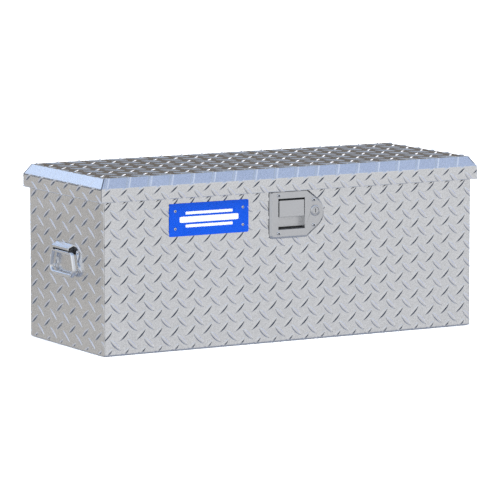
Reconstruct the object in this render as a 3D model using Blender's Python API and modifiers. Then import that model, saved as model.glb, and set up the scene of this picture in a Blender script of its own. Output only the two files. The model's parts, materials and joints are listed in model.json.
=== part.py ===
"""Truck tool box: a small aluminium tread-plate chest with a hinged, foam-filled lid.

The tub is a bent sheet (front, floor and back) closed by two end panels, with a
rim and a weather seal round its mouth.  The lid turns on a continuous hinge at the
back, is lifted by two gas struts and is held by a paddle latch with a key lock.
Each end carries a folding bail handle.

Frame: metres, +Z up.  The origin is the middle of the footprint, on the ground.
+X is the right end and -Y the front, as seen by someone standing at the latch.
"""

import math

import bmesh
import bpy
from mathutils import Matrix, Vector

# Driving dimensions, in metres.
GAP = 0.0003
SHEET = 0.0016
BODY_LENGTH = 0.894
BODY_DEPTH = 0.337
WALL_TOP = 0.3381
BEND_RADIUS = 0.003

LID_LENGTH = 0.914
LID_DEPTH = 0.357
SKIRT_BOTTOM = 0.3183
SKIRT_TOP = 0.3464
LID_TOP = 0.3676
LID_BEVEL = 0.0194
LINER_BOTTOM = 0.3475
LINER_THICKNESS = 0.001

RIM_WIDTH = 0.022
RIM_LIP = 0.010
SEAL_RADIUS = 0.0034

HINGE_Y = 0.1727
HINGE_Z = SKIRT_BOTTOM
HINGE_LENGTH = 0.880
HINGE_KNUCKLES = 24
KNUCKLE_RADIUS = 0.0034
HINGE_PIN_RADIUS = 0.0015
LEAF_HEIGHT = 0.025
BODY_LEAF = 0.0014
LID_LEAF = 0.0016

BADGE_CENTRE = (-0.2003, 0.2722)
BADGE_SIZE = (0.1886, 0.0688)
BADGE_THICKNESS = 0.0012
BADGE_RIVET_OFFSET = (0.0804, 0.0184)
BADGE_RIVET_HEAD = (0.0032, 0.0013)
BADGE_RIVET_SHANK = (0.0016, 0.0045)

GASKET_THICKNESS = 0.001
PAN_CENTRE_Z = 0.2698
PAN_LEFT = -0.0516
PAN_HALF_HEIGHT = 0.047
PAN_SHOULDER_X = 0.0325
PAN_NOSE_X = 0.0403
PAN_NOSE_RADIUS = 0.0323
PAN_NOSE_ANGLE = math.radians(57)
PAN_STEP = 0.0006
PAN_SLOPE_WIDTH = 0.0045
PAN_SLOPE_RISE = 0.004
RECESS_X = (-0.0366, 0.0279)
RECESS_Z = (0.2375, 0.3028)
CUP_FLOOR_Y = -0.1600
CUP_WALL = 0.0015
CUP_SLACK = 0.0009
SCREW_SHANK_RADIUS = 0.0020
SCREW_CLEARANCE = 0.0004
LATCH_SCREWS = {
    "upper_left": (-0.0361, 0.3099),
    "lower_left": (-0.0361, 0.2296),
    "upper_right": (0.0493, 0.2967),
    "lower_right": (0.0495, 0.2431),
}

PADDLE_X = (-0.0335, 0.0267)
PADDLE_Z = (0.2637, 0.2985)
PADDLE_THICKNESS = 0.0025
PADDLE_SETBACK = 0.0010
PADDLE_AXIS = (-0.1685, 0.2950)
PADDLE_BARREL_RADIUS = 0.0026
PADDLE_PIN_RADIUS = 0.0014

LATCH_X = -0.0044
CASE_HALF_WIDTH = 0.018
CASE_BACK = -0.1250
PAWL_AXIS = (-0.1370, 0.3000)
PAWL_PIN_RADIUS = 0.003
PAWL_THICKNESS = 0.004
STRIKER_BAR = (-0.1335, 0.3180)
STRIKER_RADIUS = 0.0025
STRIKER_HALF_WIDTH = 0.010

LOCK_CENTRE = (0.0533, 0.2736)
LOCK_RING_RADIUS = 0.0117
LOCK_SLEEVE_RADIUS = 0.0095
LOCK_PLUG_RADIUS = 0.0075
LOCK_BACK_Y = -0.1475

HANDLE_AXIS_OUT = 0.0088
HANDLE_AXIS_Z = 0.1990
BAIL_RADIUS = 0.004
BAIL_TOP_HALF = 0.0425
BAIL_BOTTOM_HALF = 0.0565
BAIL_DROP = 0.0465
BAIL_CORNERS = (0.007, 0.013)
HANDLE_PLATE = 0.002
HOOD_HALF_WIDTH = 0.0375
HANDLE_RIVET_HEAD = (0.0038, 0.0016)
HANDLE_RIVET_SHANK = (0.0020, 0.0060)
HANDLE_RIVETS = {
    "upper_front": (-0.0540, 0.0040),
    "upper_rear": (0.0540, 0.0040),
    "lower_front": (-0.0500, -0.0350),
    "lower_rear": (0.0500, -0.0350),
}

STRUT_X = 0.412
STRUT_LOWER = (0.070, 0.170)
STRUT_UPPER = (HINGE_Y - 0.090, HINGE_Z + 0.012)
STRUT_EYE_HALF = 0.004
STRUT_EYE_RADIUS = 0.008
STRUT_STUD_RADIUS = 0.004
STRUT_TUBE_RADIUS = 0.0075
STRUT_ROD_RADIUS = 0.003
STRUT_TUBE_LENGTH = (0.012, 0.146)

# How far a cutter reaches past the sheet that it goes through.
CUTTER_REACH = 0.01

# Surfaces that follow from the driving dimensions.
FRONT = -BODY_DEPTH / 2
BACK = BODY_DEPTH / 2
END = BODY_LENGTH / 2
RIM_TOP = WALL_TOP + GAP + SHEET
PAN_BACK = FRONT - 2 * GAP - GASKET_THICKNESS
PAN_FACE = PAN_BACK - PAN_STEP - PAN_SLOPE_RISE

COLOURS = {
    # name: (base colour, metallic, roughness)
    "tread_plate": ((0.80, 0.81, 0.83), 1.0, 0.32),
    "mill_sheet": ((0.72, 0.73, 0.75), 1.0, 0.38),
    "stainless": ((0.66, 0.67, 0.68), 1.0, 0.28),
    "zinc": ((0.55, 0.56, 0.57), 1.0, 0.42),
    "chrome": ((0.86, 0.88, 0.92), 1.0, 0.08),
    "black_paint": ((0.02, 0.02, 0.02), 0.0, 0.40),
    "rubber": ((0.025, 0.025, 0.027), 0.0, 0.75),
    "foam": ((0.78, 0.74, 0.60), 0.0, 0.90),
    "blue_enamel": ((0.0, 0.09, 0.78), 0.0, 0.25),
}


# Scene set-up

def clear_scene():
    for old in list(bpy.data.objects):
        bpy.data.objects.remove(old, do_unlink=True)


def new_collection(name):
    collection = bpy.data.collections.new(name)
    bpy.context.scene.collection.children.link(collection)
    return collection


def make_material(name):
    colour, metallic, roughness = COLOURS[name]
    made = bpy.data.materials.new(name)
    made.use_nodes = True
    shader = made.node_tree.nodes["Principled BSDF"]
    shader.inputs["Base Color"].default_value = (*colour, 1.0)
    shader.inputs["Metallic"].default_value = metallic
    shader.inputs["Roughness"].default_value = roughness
    return made


def add_object(name, mesh, location=(0, 0, 0), rotation=None):
    """A new object in the parts collection."""
    placed = bpy.data.objects.new(name, mesh)
    placed.location = location
    if rotation is not None:
        placed.rotation_mode = "QUATERNION"
        placed.rotation_quaternion = rotation
    PARTS.objects.link(placed)
    return placed


def finish_part(placed, material, pivot=None):
    """Gives a part its material, smooth round sides and, if it moves, its joint's empty."""
    own = MATERIALS[material].copy()
    own.name = f"{placed.name}_{material}"
    placed.data.materials.clear()
    placed.data.materials.append(own)
    placed.data.shade_smooth()
    placed.data.set_sharp_from_angle(angle=math.radians(35))
    if pivot is not None:
        placed.parent = pivot
        placed.matrix_parent_inverse = Matrix.Translation(-pivot.location)
    return placed


def make_pivot(name, location):
    """An empty on a joint's axis; the moving parts hang on it."""
    empty = bpy.data.objects.new(name, None)
    empty.location = location
    empty.empty_display_size = 0.02
    PARTS.objects.link(empty)
    return empty


# Shapes

def mesh_from(builder, name):
    mesh = bpy.data.meshes.new(name)
    builder.to_mesh(mesh)
    builder.free()
    return mesh


def box(name, low, high):
    """A box between two corners."""
    low, high = Vector(low), Vector(high)
    builder = bmesh.new()
    bmesh.ops.create_cube(builder, size=1.0, matrix=Matrix.Diagonal((*(high - low), 1.0)))
    return add_object(name, mesh_from(builder, name), (low + high) / 2)


def cylinder(name, radius, start, end, segments=16):
    """A cylinder between the centres of its two ends."""
    start, end = Vector(start), Vector(end)
    builder = bmesh.new()
    bmesh.ops.create_cone(
        builder,
        cap_ends=True,
        segments=segments,
        radius1=radius,
        radius2=radius,
        depth=(end - start).length,
    )
    turn = (end - start).to_track_quat("Z", "Y")
    return add_object(name, mesh_from(builder, name), (start + end) / 2, turn)


def turned(name, profile, base, direction, segments=16, closed=False):
    """A profile of (radius, height) turned about the direction from its base."""
    mesh = bpy.data.meshes.new(name)
    points = [(radius, 0.0, height) for radius, height in profile]
    edges = [(step, step + 1) for step in range(len(points) - 1)]
    if closed:
        edges.append((len(points) - 1, 0))
    mesh.from_pydata(points, edges, [])
    placed = add_object(name, mesh, base, Vector(direction).to_track_quat("Z", "Y"))
    screw = placed.modifiers.new("turn", "SCREW")
    screw.steps = segments
    screw.render_steps = segments
    screw.use_merge_vertices = True
    screw.merge_threshold = 0.00001
    screw.use_smooth_shade = True
    return placed


def swept_sheet(name, profile, sweep, outside):
    """A bent sheet: a profile swept straight, with its thickness on the inner side.

    outside is the direction that the first run of the profile faces.
    """
    builder = bmesh.new()
    verts = [builder.verts.new(place) for place in profile]
    edges = [builder.edges.new(pair) for pair in zip(verts, verts[1:])]
    swept = bmesh.ops.extrude_edge_only(builder, edges=edges)["geom"]
    moved = [item for item in swept if isinstance(item, bmesh.types.BMVert)]
    bmesh.ops.translate(builder, verts=moved, vec=sweep)
    bmesh.ops.recalc_face_normals(builder, faces=builder.faces)
    first = edges[0].link_faces[0]
    if first.normal.dot(Vector(outside)) < 0:
        bmesh.ops.reverse_faces(builder, faces=builder.faces)
    placed = add_object(name, mesh_from(builder, name))
    shell = placed.modifiers.new("sheet", "SOLIDIFY")
    shell.thickness = SHEET
    shell.offset = -1.0
    shell.use_even_offset = True
    return placed


def to_mesh(curve_object):
    """Makes a curve object a mesh object with its caps welded."""
    bpy.context.view_layer.update()
    graph = bpy.context.evaluated_depsgraph_get()
    mesh = bpy.data.meshes.new_from_object(curve_object.evaluated_get(graph))
    builder = bmesh.new()
    builder.from_mesh(mesh)
    bmesh.ops.remove_doubles(builder, verts=builder.verts, dist=0.00001)
    bmesh.ops.recalc_face_normals(builder, faces=builder.faces)
    builder.to_mesh(mesh)
    builder.free()
    name = curve_object.name
    place = curve_object.matrix_world.copy()
    bpy.data.objects.remove(curve_object, do_unlink=True)
    placed = add_object(name, mesh)
    placed.name = name
    placed.matrix_world = place
    return placed


PLANES = {
    # plane: columns are the world directions of the outline's two axes and its normal
    "front": Matrix(((1, 0, 0), (0, 0, -1), (0, 1, 0))),
    "end": Matrix(((0, 0, 1), (1, 0, 0), (0, 1, 0))),
    "floor": Matrix.Identity(3),
}


def plate(name, outlines, low, high, plane):
    """A flat plate: the first outline is its edge and the others are holes in it.

    low and high are world coordinates along Y, X or Z for the front, end and floor planes.
    """
    curve = bpy.data.curves.new(name, "CURVE")
    curve.dimensions = "2D"
    curve.fill_mode = "BOTH"
    curve.extrude = abs(high - low) / 2
    for outline in outlines:
        spline = curve.splines.new("POLY")
        spline.points.add(len(outline) - 1)
        for point, (across, along) in zip(spline.points, outline):
            point.co = (across, along, 0.0, 1.0)
        spline.use_cyclic_u = True
    axis = {"front": 1, "end": 0, "floor": 2}[plane]
    middle = Vector((0.0, 0.0, 0.0))
    middle[axis] = (low + high) / 2
    return to_mesh(add_object(name, curve, middle, PLANES[plane].to_quaternion()))


def wire(name, points, radius, cyclic=False, resolution=2):
    """A round bar or wire along straight runs between points, or along many close points."""
    curve = bpy.data.curves.new(name, "CURVE")
    curve.dimensions = "3D"
    curve.bevel_depth = radius
    curve.bevel_resolution = resolution
    curve.use_fill_caps = not cyclic
    spline = curve.splines.new("POLY")
    spline.points.add(len(points) - 1)
    for point, place in zip(spline.points, points):
        point.co = (*place, 1.0)
    spline.use_cyclic_u = cyclic
    return to_mesh(add_object(name, curve))


def boolean(target, tool, operation):
    """Cuts or joins with the exact solver; the tool becomes a hidden wire object."""
    step = target.modifiers.new(f"{operation.lower()}_{tool.name}", "BOOLEAN")
    step.operation = operation
    step.solver = "EXACT"
    step.object = tool
    PARTS.objects.unlink(tool)
    CUTTERS.objects.link(tool)
    tool.hide_render = True
    tool.display_type = "WIRE"


def cut(target, *tools):
    for tool in tools:
        boolean(target, tool, "DIFFERENCE")


def join(target, *tools):
    for tool in tools:
        boolean(target, tool, "UNION")


# Outlines

def rounded(corners, segments=3):
    """Points of a closed outline whose corners are (across, along, corner radius)."""
    points = []
    for index, (across, along, radius) in enumerate(corners):
        here = Vector((across, along))
        if radius == 0:
            points.append(here)
            continue
        before = (Vector(corners[index - 1][:2]) - here).normalized()
        after = (Vector(corners[(index + 1) % len(corners)][:2]) - here).normalized()
        half = before.angle(after) / 2
        centre = here + (before + after).normalized() * (radius / math.sin(half))
        start = here + before * (radius / math.tan(half)) - centre
        end = here + after * (radius / math.tan(half)) - centre
        sweep = start.angle_signed(end)
        for step in range(segments + 1):
            turn = Matrix.Rotation(-sweep * step / segments, 2)
            points.append(centre + turn @ start)
    return points


def rectangle(low, high, radius=0.0, segments=3):
    (left, bottom), (right, top) = low, high
    corners = [(left, bottom), (right, bottom), (right, top), (left, top)]
    return rounded([(*corner, radius) for corner in corners], segments)


def circle(centre, radius, segments=16):
    turn = 2 * math.pi / segments
    return [
        (centre[0] + radius * math.cos(step * turn), centre[1] + radius * math.sin(step * turn))
        for step in range(segments)
    ]


def pan_outline(grow, segments=8):
    """The latch pan's D shape on the front plane: square at the left, round at the right."""
    left = PAN_LEFT - grow
    half = PAN_HALF_HEIGHT + grow
    middle = PAN_CENTRE_Z
    shoulder = PAN_SHOULDER_X + grow * 0.35
    nose = [
        (
            PAN_NOSE_X + (PAN_NOSE_RADIUS + grow) * math.cos(angle),
            middle + (PAN_NOSE_RADIUS + grow) * math.sin(angle),
            0.0,
        )
        for angle in (
            PAN_NOSE_ANGLE * (2 * step / segments - 1) for step in range(segments + 1)
        )
    ]
    return rounded([
        (left, middle - half, 0.008),
        (shoulder, middle - half, 0.006),
        *nose,
        (shoulder, middle + half, 0.006),
        (left, middle + half, 0.008),
    ])


# Tub

def latch_holes(clearance):
    """Screw and lock holes in the sheets behind the latch pan."""
    hole_radius = SCREW_SHANK_RADIUS + clearance
    screws = [circle(centre, hole_radius, 12) for centre in LATCH_SCREWS.values()]
    return [*screws, circle(LOCK_CENTRE, LOCK_SLEEVE_RADIUS + clearance, 20)]


def latch_opening():
    """The opening that the latch pan's cup passes through."""
    slack = CUP_WALL + CUP_SLACK
    return rectangle(
        (RECESS_X[0] - slack, RECESS_Z[0] - slack),
        (RECESS_X[1] + slack, RECESS_Z[1] + slack),
    )


def badge_rivet_places():
    across, along = BADGE_RIVET_OFFSET
    return {
        f"{row}_{side}": (BADGE_CENTRE[0] + sx * across, BADGE_CENTRE[1] + sz * along)
        for row, sz in (("upper", 1), ("lower", -1))
        for side, sx in (("left", -1), ("right", 1))
    }


def make_tub_wrap():
    """Front, floor and back in one bent sheet, with the latch opening and its holes."""
    reach = END - SHEET - GAP
    corners = [
        (FRONT, WALL_TOP, 0.0),
        (FRONT, 0.0, BEND_RADIUS),
        (BACK, 0.0, BEND_RADIUS),
        (BACK, WALL_TOP, 0.0),
    ]
    profile = [(-reach, y, z) for y, z in rounded(corners)]
    wrap = swept_sheet("tub_wrap", profile, (2 * reach, 0, 0), (0, -1, 0))
    low, high = FRONT - CUTTER_REACH, FRONT + CUTTER_REACH
    cut(wrap, plate("latch_opening_cutter", [latch_opening()], low, high, "front"))
    for index, hole in enumerate(latch_holes(SCREW_CLEARANCE)):
        cut(wrap, plate(f"latch_hole_{index}", [hole], low, high, "front"))
    for place, centre in badge_rivet_places().items():
        hole = circle(centre, BADGE_RIVET_SHANK[0] + GAP, 12)
        cut(wrap, plate(f"badge_hole_{place}", [hole], low, high, "front"))
    finish_part(wrap, "tread_plate")


def handle_rivet_places():
    return {
        place: (across, HANDLE_AXIS_Z + along)
        for place, (across, along) in HANDLE_RIVETS.items()
    }


def handle_rivet_holes():
    hole_radius = HANDLE_RIVET_SHANK[0] + GAP
    return [circle(centre, hole_radius, 12) for centre in handle_rivet_places().values()]


def make_end_panel(side, sign):
    outline = rounded([
        (FRONT, 0.0, BEND_RADIUS),
        (BACK, 0.0, BEND_RADIUS),
        (BACK, WALL_TOP, 0.0),
        (FRONT, WALL_TOP, 0.0),
    ])
    low, high = sorted((sign * END, sign * (END - SHEET)))
    panel = plate(f"{side}_end_panel", [outline, *handle_rivet_holes()], low, high, "end")
    finish_part(panel, "tread_plate")


def make_rim_rail(name, along_x, sign):
    """An inward flange on a wall's top edge, with a lip turned down at its inner edge."""
    if along_x:
        reach = END - SHEET - GAP
        outer = BACK
    else:
        reach = BACK - RIM_WIDTH - GAP
        outer = END
    inner = outer - RIM_WIDTH
    section = [(outer, RIM_TOP), (inner, RIM_TOP), (inner, RIM_TOP - RIM_LIP - SHEET)]
    if along_x:
        profile = [(-reach, sign * across, z) for across, z in section]
        sweep = (2 * reach, 0, 0)
    else:
        profile = [(sign * across, -reach, z) for across, z in section]
        sweep = (0, 2 * reach, 0)
    rail = swept_sheet(name, profile, sweep, (0, 0, 1))
    finish_part(rail, "mill_sheet")


def make_weather_seal():
    inset = RIM_WIDTH / 2 - 0.001
    height = RIM_TOP + GAP + SEAL_RADIUS
    loop = rectangle((-END + inset, FRONT + inset), (END - inset, BACK - inset), 0.012, 4)
    points = [(x, y, height) for x, y in loop]
    finish_part(wire("weather_seal", points, SEAL_RADIUS, cyclic=True), "rubber")


# Lid

def make_lid_skin(pivot):
    """Top, four sloping bevels and four skirts in one sheet, open underneath."""
    builder = bmesh.new()
    size = (LID_LENGTH, LID_DEPTH, SKIRT_TOP - SKIRT_BOTTOM, 1.0)
    middle = (0.0, 0.0, (SKIRT_TOP + SKIRT_BOTTOM) / 2)
    made = bmesh.ops.create_cube(builder, size=1.0, matrix=Matrix.Diagonal(size))["verts"]
    bmesh.ops.translate(builder, verts=made, vec=middle)
    builder.faces.ensure_lookup_table()
    builder.normal_update()
    under = [face for face in builder.faces if face.normal.z < -0.5]
    top = [face for face in builder.faces if face.normal.z > 0.5]
    bmesh.ops.delete(builder, geom=under, context="FACES_ONLY")
    bmesh.ops.inset_region(builder, faces=top, thickness=LID_BEVEL, depth=LID_TOP - SKIRT_TOP)
    skin = add_object("lid_skin", mesh_from(builder, "lid_skin"))
    shell = skin.modifiers.new("sheet", "SOLIDIFY")
    shell.thickness = SHEET
    shell.offset = -1.0
    shell.use_even_offset = True
    finish_part(skin, "tread_plate", pivot)


def make_lid_liner(pivot):
    half_x, half_y = 0.4515, 0.1730
    liner = box(
        "lid_liner",
        (-half_x, -half_y, LINER_BOTTOM),
        (half_x, half_y, LINER_BOTTOM + LINER_THICKNESS),
    )
    finish_part(liner, "mill_sheet", pivot)


def make_lid_core(pivot):
    """Rigid foam that fills the lid between its liner and its skin."""
    bottom = LINER_BOTTOM + LINER_THICKNESS + GAP
    top = LID_TOP - SHEET - GAP
    slack = 0.0032
    slope = LID_BEVEL / (LID_TOP - SKIRT_TOP)
    core = box("lid_core", (-1, -1, bottom), (1, 1, top))
    for vertex in core.data.vertices:
        height = top if vertex.co.z > 0 else bottom
        inset = (height - SKIRT_TOP) * slope + slack
        vertex.co.x = math.copysign(LID_LENGTH / 2 - inset, vertex.co.x)
        vertex.co.y = math.copysign(LID_DEPTH / 2 - inset, vertex.co.y)
    finish_part(core, "foam", pivot)


def make_striker(pivot):
    """A plate under the lid and the round loop that the pawl holds."""
    top = LINER_BOTTOM - GAP
    plate_bottom = top - 0.002
    y, z = STRIKER_BAR
    pad = box("striker_plate", (LATCH_X - 0.022, y - 0.009, plate_bottom),
              (LATCH_X + 0.022, y + 0.011, top))
    finish_part(pad, "zinc", pivot)
    half = STRIKER_HALF_WIDTH
    loop = rounded([
        (LATCH_X - half, plate_bottom - GAP, 0.0),
        (LATCH_X - half, z, 0.004),
        (LATCH_X + half, z, 0.004),
        (LATCH_X + half, plate_bottom - GAP, 0.0),
    ])
    points = [(x, y, height) for x, height in loop]
    finish_part(wire("striker_loop", points, STRIKER_RADIUS), "stainless", pivot)


# Hinge

def knuckle_spans(first):
    """Every other knuckle's start and end along X."""
    pitch = HINGE_LENGTH / HINGE_KNUCKLES
    for index in range(first, HINGE_KNUCKLES, 2):
        start = -HINGE_LENGTH / 2 + index * pitch
        yield index, start + GAP, start + pitch - GAP


def make_hinge_leaf(name, first, low_y, high_y, sign, material, pivot=None):
    """A leaf with its own knuckles; sign is -1 for the leaf below the pin."""
    half = HINGE_LENGTH / 2
    clear = KNUCKLE_RADIUS + 0.0006
    z_low, z_high = sorted((HINGE_Z + sign * clear, HINGE_Z + sign * LEAF_HEIGHT))
    leaf = box(name, (-half, low_y, z_low), (half, high_y, z_high))
    for index, start, end in knuckle_spans(first):
        tab_low, tab_high = sorted((HINGE_Z, HINGE_Z + sign * (clear + 0.002)))
        join(leaf, box(f"{name}_tab_{index}", (start, low_y, tab_low), (end, high_y, tab_high)))
        centre = (HINGE_Y, HINGE_Z)
        join(leaf, cylinder(f"{name}_knuckle_{index}", KNUCKLE_RADIUS,
                            (start, *centre), (end, *centre), 12))
    bore = cylinder(f"{name}_bore", HINGE_PIN_RADIUS + GAP,
                    (-half - 0.01, HINGE_Y, HINGE_Z), (half + 0.01, HINGE_Y, HINGE_Z), 12)
    cut(leaf, bore)
    finish_part(leaf, material, pivot)


def make_hinge(lid_pivot):
    make_hinge_leaf("hinge_body_leaf", 0, BACK + GAP, BACK + GAP + BODY_LEAF, -1, "mill_sheet")
    lid_inside = LID_DEPTH / 2 - SHEET - GAP
    make_hinge_leaf("hinge_lid_leaf", 1, lid_inside - LID_LEAF, lid_inside, 1,
                    "mill_sheet", lid_pivot)
    half = HINGE_LENGTH / 2 + 0.001
    pin = cylinder("hinge_pin", HINGE_PIN_RADIUS, (-half, HINGE_Y, HINGE_Z),
                   (half, HINGE_Y, HINGE_Z), 12)
    finish_part(pin, "stainless")


# Latch

def make_latch_pan():
    """The pressed D-shaped pan with its recess, screw holes and lock hole."""
    builder = bmesh.new()
    ring = [builder.verts.new((x, PAN_BACK, z)) for x, z in pan_outline(PAN_SLOPE_WIDTH)]
    face = builder.faces.new(ring)
    swept = bmesh.ops.extrude_face_region(builder, geom=[face])["geom"]
    moved = [item for item in swept if isinstance(item, bmesh.types.BMVert)]
    front = [item for item in swept if isinstance(item, bmesh.types.BMFace)]
    bmesh.ops.translate(builder, verts=moved, vec=(0, -PAN_STEP, 0))
    bmesh.ops.recalc_face_normals(builder, faces=builder.faces)
    bmesh.ops.inset_region(builder, faces=front, thickness=PAN_SLOPE_WIDTH, depth=PAN_SLOPE_RISE)
    pan = add_object("latch_pan", mesh_from(builder, "latch_pan"))
    low = (RECESS_X[0] - CUP_WALL, PAN_FACE + 0.001, RECESS_Z[0] - CUP_WALL)
    high = (RECESS_X[1] + CUP_WALL, CUP_FLOOR_Y + CUP_WALL, RECESS_Z[1] + CUP_WALL)
    join(pan, box("latch_cup_shape", low, high))
    low = (RECESS_X[0], PAN_FACE - 0.01, RECESS_Z[0])
    high = (RECESS_X[1], CUP_FLOOR_Y, RECESS_Z[1])
    cut(pan, box("latch_recess_cutter", low, high))
    tail_slot_low = (LATCH_X - 0.006, CUP_FLOOR_Y - 0.002, 0.2800)
    tail_slot_high = (LATCH_X + 0.006, CUP_FLOOR_Y + 0.004, 0.3005)
    cut(pan, box("latch_tail_slot_cutter", tail_slot_low, tail_slot_high))
    low, high = PAN_FACE - CUTTER_REACH, PAN_BACK + CUTTER_REACH
    for index, hole in enumerate(latch_holes(SCREW_CLEARANCE)):
        cut(pan, plate(f"pan_hole_{index}", [hole], low, high, "front"))
    finish_part(pan, "stainless")


def make_latch_gasket():
    edge = pan_outline(PAN_SLOPE_WIDTH - 0.001)
    outlines = [edge, latch_opening(), *latch_holes(SCREW_CLEARANCE)]
    high = FRONT - GAP
    gasket = plate("latch_gasket", outlines, high - GASKET_THICKNESS, high, "front")
    finish_part(gasket, "rubber")


def screw_profile():
    """A pan-head machine screw with a socket, from its head down to its tip."""
    head, socket, shank = 0.0038, 0.0016, SCREW_SHANK_RADIUS
    return [
        (0.0, 0.0010), (socket, 0.0010), (socket, 0.0020), (0.0026, 0.0020),
        (head, 0.0008), (head, 0.0), (shank, 0.0), (shank, -0.0160), (0.0, -0.0160),
    ]


def make_latch_screws():
    for place, (x, z) in LATCH_SCREWS.items():
        base = (x, PAN_FACE - GAP, z)
        screw = turned(f"latch_screw_{place}", screw_profile(), base, (0, -1, 0), 12)
        finish_part(screw, "stainless")


def make_paddle(pivot):
    """The pull plate with its rolled top, its finger lip and the tail that trips the pawl."""
    y_axis, z_axis = PADDLE_AXIS
    front = PAN_FACE + PADDLE_SETBACK
    back = front + PADDLE_THICKNESS
    paddle = box("paddle", (PADDLE_X[0], front, PADDLE_Z[0]), (PADDLE_X[1], back, PADDLE_Z[1]))
    lip = box("paddle_lip", (PADDLE_X[0] + 0.002, front + 0.001, PADDLE_Z[0]),
              (PADDLE_X[1] - 0.002, back + 0.003, PADDLE_Z[0] + 0.002))
    barrel = cylinder("paddle_barrel", PADDLE_BARREL_RADIUS, (PADDLE_X[0] + 0.003, *PADDLE_AXIS),
                      (PADDLE_X[1] - 0.001, *PADDLE_AXIS), 16)
    web = box("paddle_web", (PADDLE_X[0] + 0.003, front + 0.001, z_axis - 0.0012),
              (PADDLE_X[1] - 0.001, y_axis, z_axis + 0.0012))
    tail = box("paddle_tail", (LATCH_X - 0.004, y_axis, z_axis + 0.0005),
               (LATCH_X + 0.004, y_axis + 0.0180, z_axis + 0.0025))
    join(paddle, lip, barrel, web, tail)
    bore = cylinder("paddle_bore", PADDLE_PIN_RADIUS + GAP, (PADDLE_X[0] - 0.01, *PADDLE_AXIS),
                    (PADDLE_X[1] + 0.01, *PADDLE_AXIS), 12)
    cut(paddle, bore)
    finish_part(paddle, "stainless", pivot)


def make_paddle_pin():
    pin = cylinder("paddle_pin", PADDLE_PIN_RADIUS, (RECESS_X[0] + GAP, *PADDLE_AXIS),
                   (RECESS_X[1] - GAP, *PADDLE_AXIS), 12)
    finish_part(pin, "stainless")


def make_coil_spring(name, start_x, turns, pitch, radius, wire_radius, axis):
    """A torsion spring wound round a pin along X."""
    per_turn = 10
    points = []
    for step in range(int(turns * per_turn) + 1):
        angle = 2 * math.pi * step / per_turn
        points.append((
            start_x + pitch * step / per_turn,
            axis[0] + radius * math.cos(angle),
            axis[1] + radius * math.sin(angle),
        ))
    finish_part(wire(name, points, wire_radius, resolution=0), "zinc")


def make_latch_case():
    """The bracket behind the pan: a web on the cup and two cheeks that hold the pawl's pin."""
    web_front = CUP_FLOOR_Y + CUP_WALL + GAP
    low_z, high_z = 0.2830, 0.3200
    outer = CASE_HALF_WIDTH
    inner = CASE_HALF_WIDTH - 0.002
    case = box("latch_case", (LATCH_X - outer, web_front, low_z),
               (LATCH_X + outer, CASE_BACK, high_z))
    hollow = box("latch_case_hollow", (LATCH_X - inner, web_front + 0.002, low_z - 0.01),
                 (LATCH_X + inner, CASE_BACK + 0.01, high_z + 0.01))
    slot = box("latch_case_slot", (LATCH_X - 0.006, web_front - 0.01, low_z - 0.01),
               (LATCH_X + 0.006, web_front + 0.01, 0.3015))
    bore = cylinder("latch_case_bore", PAWL_PIN_RADIUS + GAP, (LATCH_X - 0.03, *PAWL_AXIS),
                    (LATCH_X + 0.03, *PAWL_AXIS), 12)
    cut(case, hollow, slot, bore)
    finish_part(case, "zinc")


def make_pawl(pivot):
    """A hooked plate that closes over the striker, with a tail under the paddle's tail."""
    y, z = PAWL_AXIS
    bar_y, bar_z = STRIKER_BAR
    reach = STRIKER_RADIUS + 0.0007
    outline = rounded([
        (y - 0.0120, z - 0.0080, 0.001),
        (y + 0.0050, z - 0.0080, 0.003),
        (y + 0.0060, z + 0.0040, 0.002),
        (y - 0.0010, z + 0.0090, 0.001),
        (bar_y - reach - 0.0002, bar_z - reach, 0.001),
        (bar_y - reach, bar_z + reach, 0.001),
        (bar_y + 0.0020, bar_z + reach, 0.0005),
        (bar_y + 0.0020, bar_z + reach + 0.0030, 0.001),
        (bar_y - reach - 0.0040, bar_z + reach + 0.0030, 0.002),
        (bar_y - reach - 0.0048, z + 0.0040, 0.001),
        (y - 0.0120, z - 0.0035, 0.001),
    ], 2)
    hole = circle(PAWL_AXIS, PAWL_PIN_RADIUS + GAP, 12)
    half = PAWL_THICKNESS / 2
    pawl = plate("pawl", [outline, hole], LATCH_X - half, LATCH_X + half, "end")
    finish_part(pawl, "zinc", pivot)


def make_pawl_pin():
    reach = CASE_HALF_WIDTH + 0.002
    pin = cylinder("pawl_pin", PAWL_PIN_RADIUS, (LATCH_X - reach, *PAWL_AXIS),
                   (LATCH_X + reach, *PAWL_AXIS), 12)
    finish_part(pin, "zinc")


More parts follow.
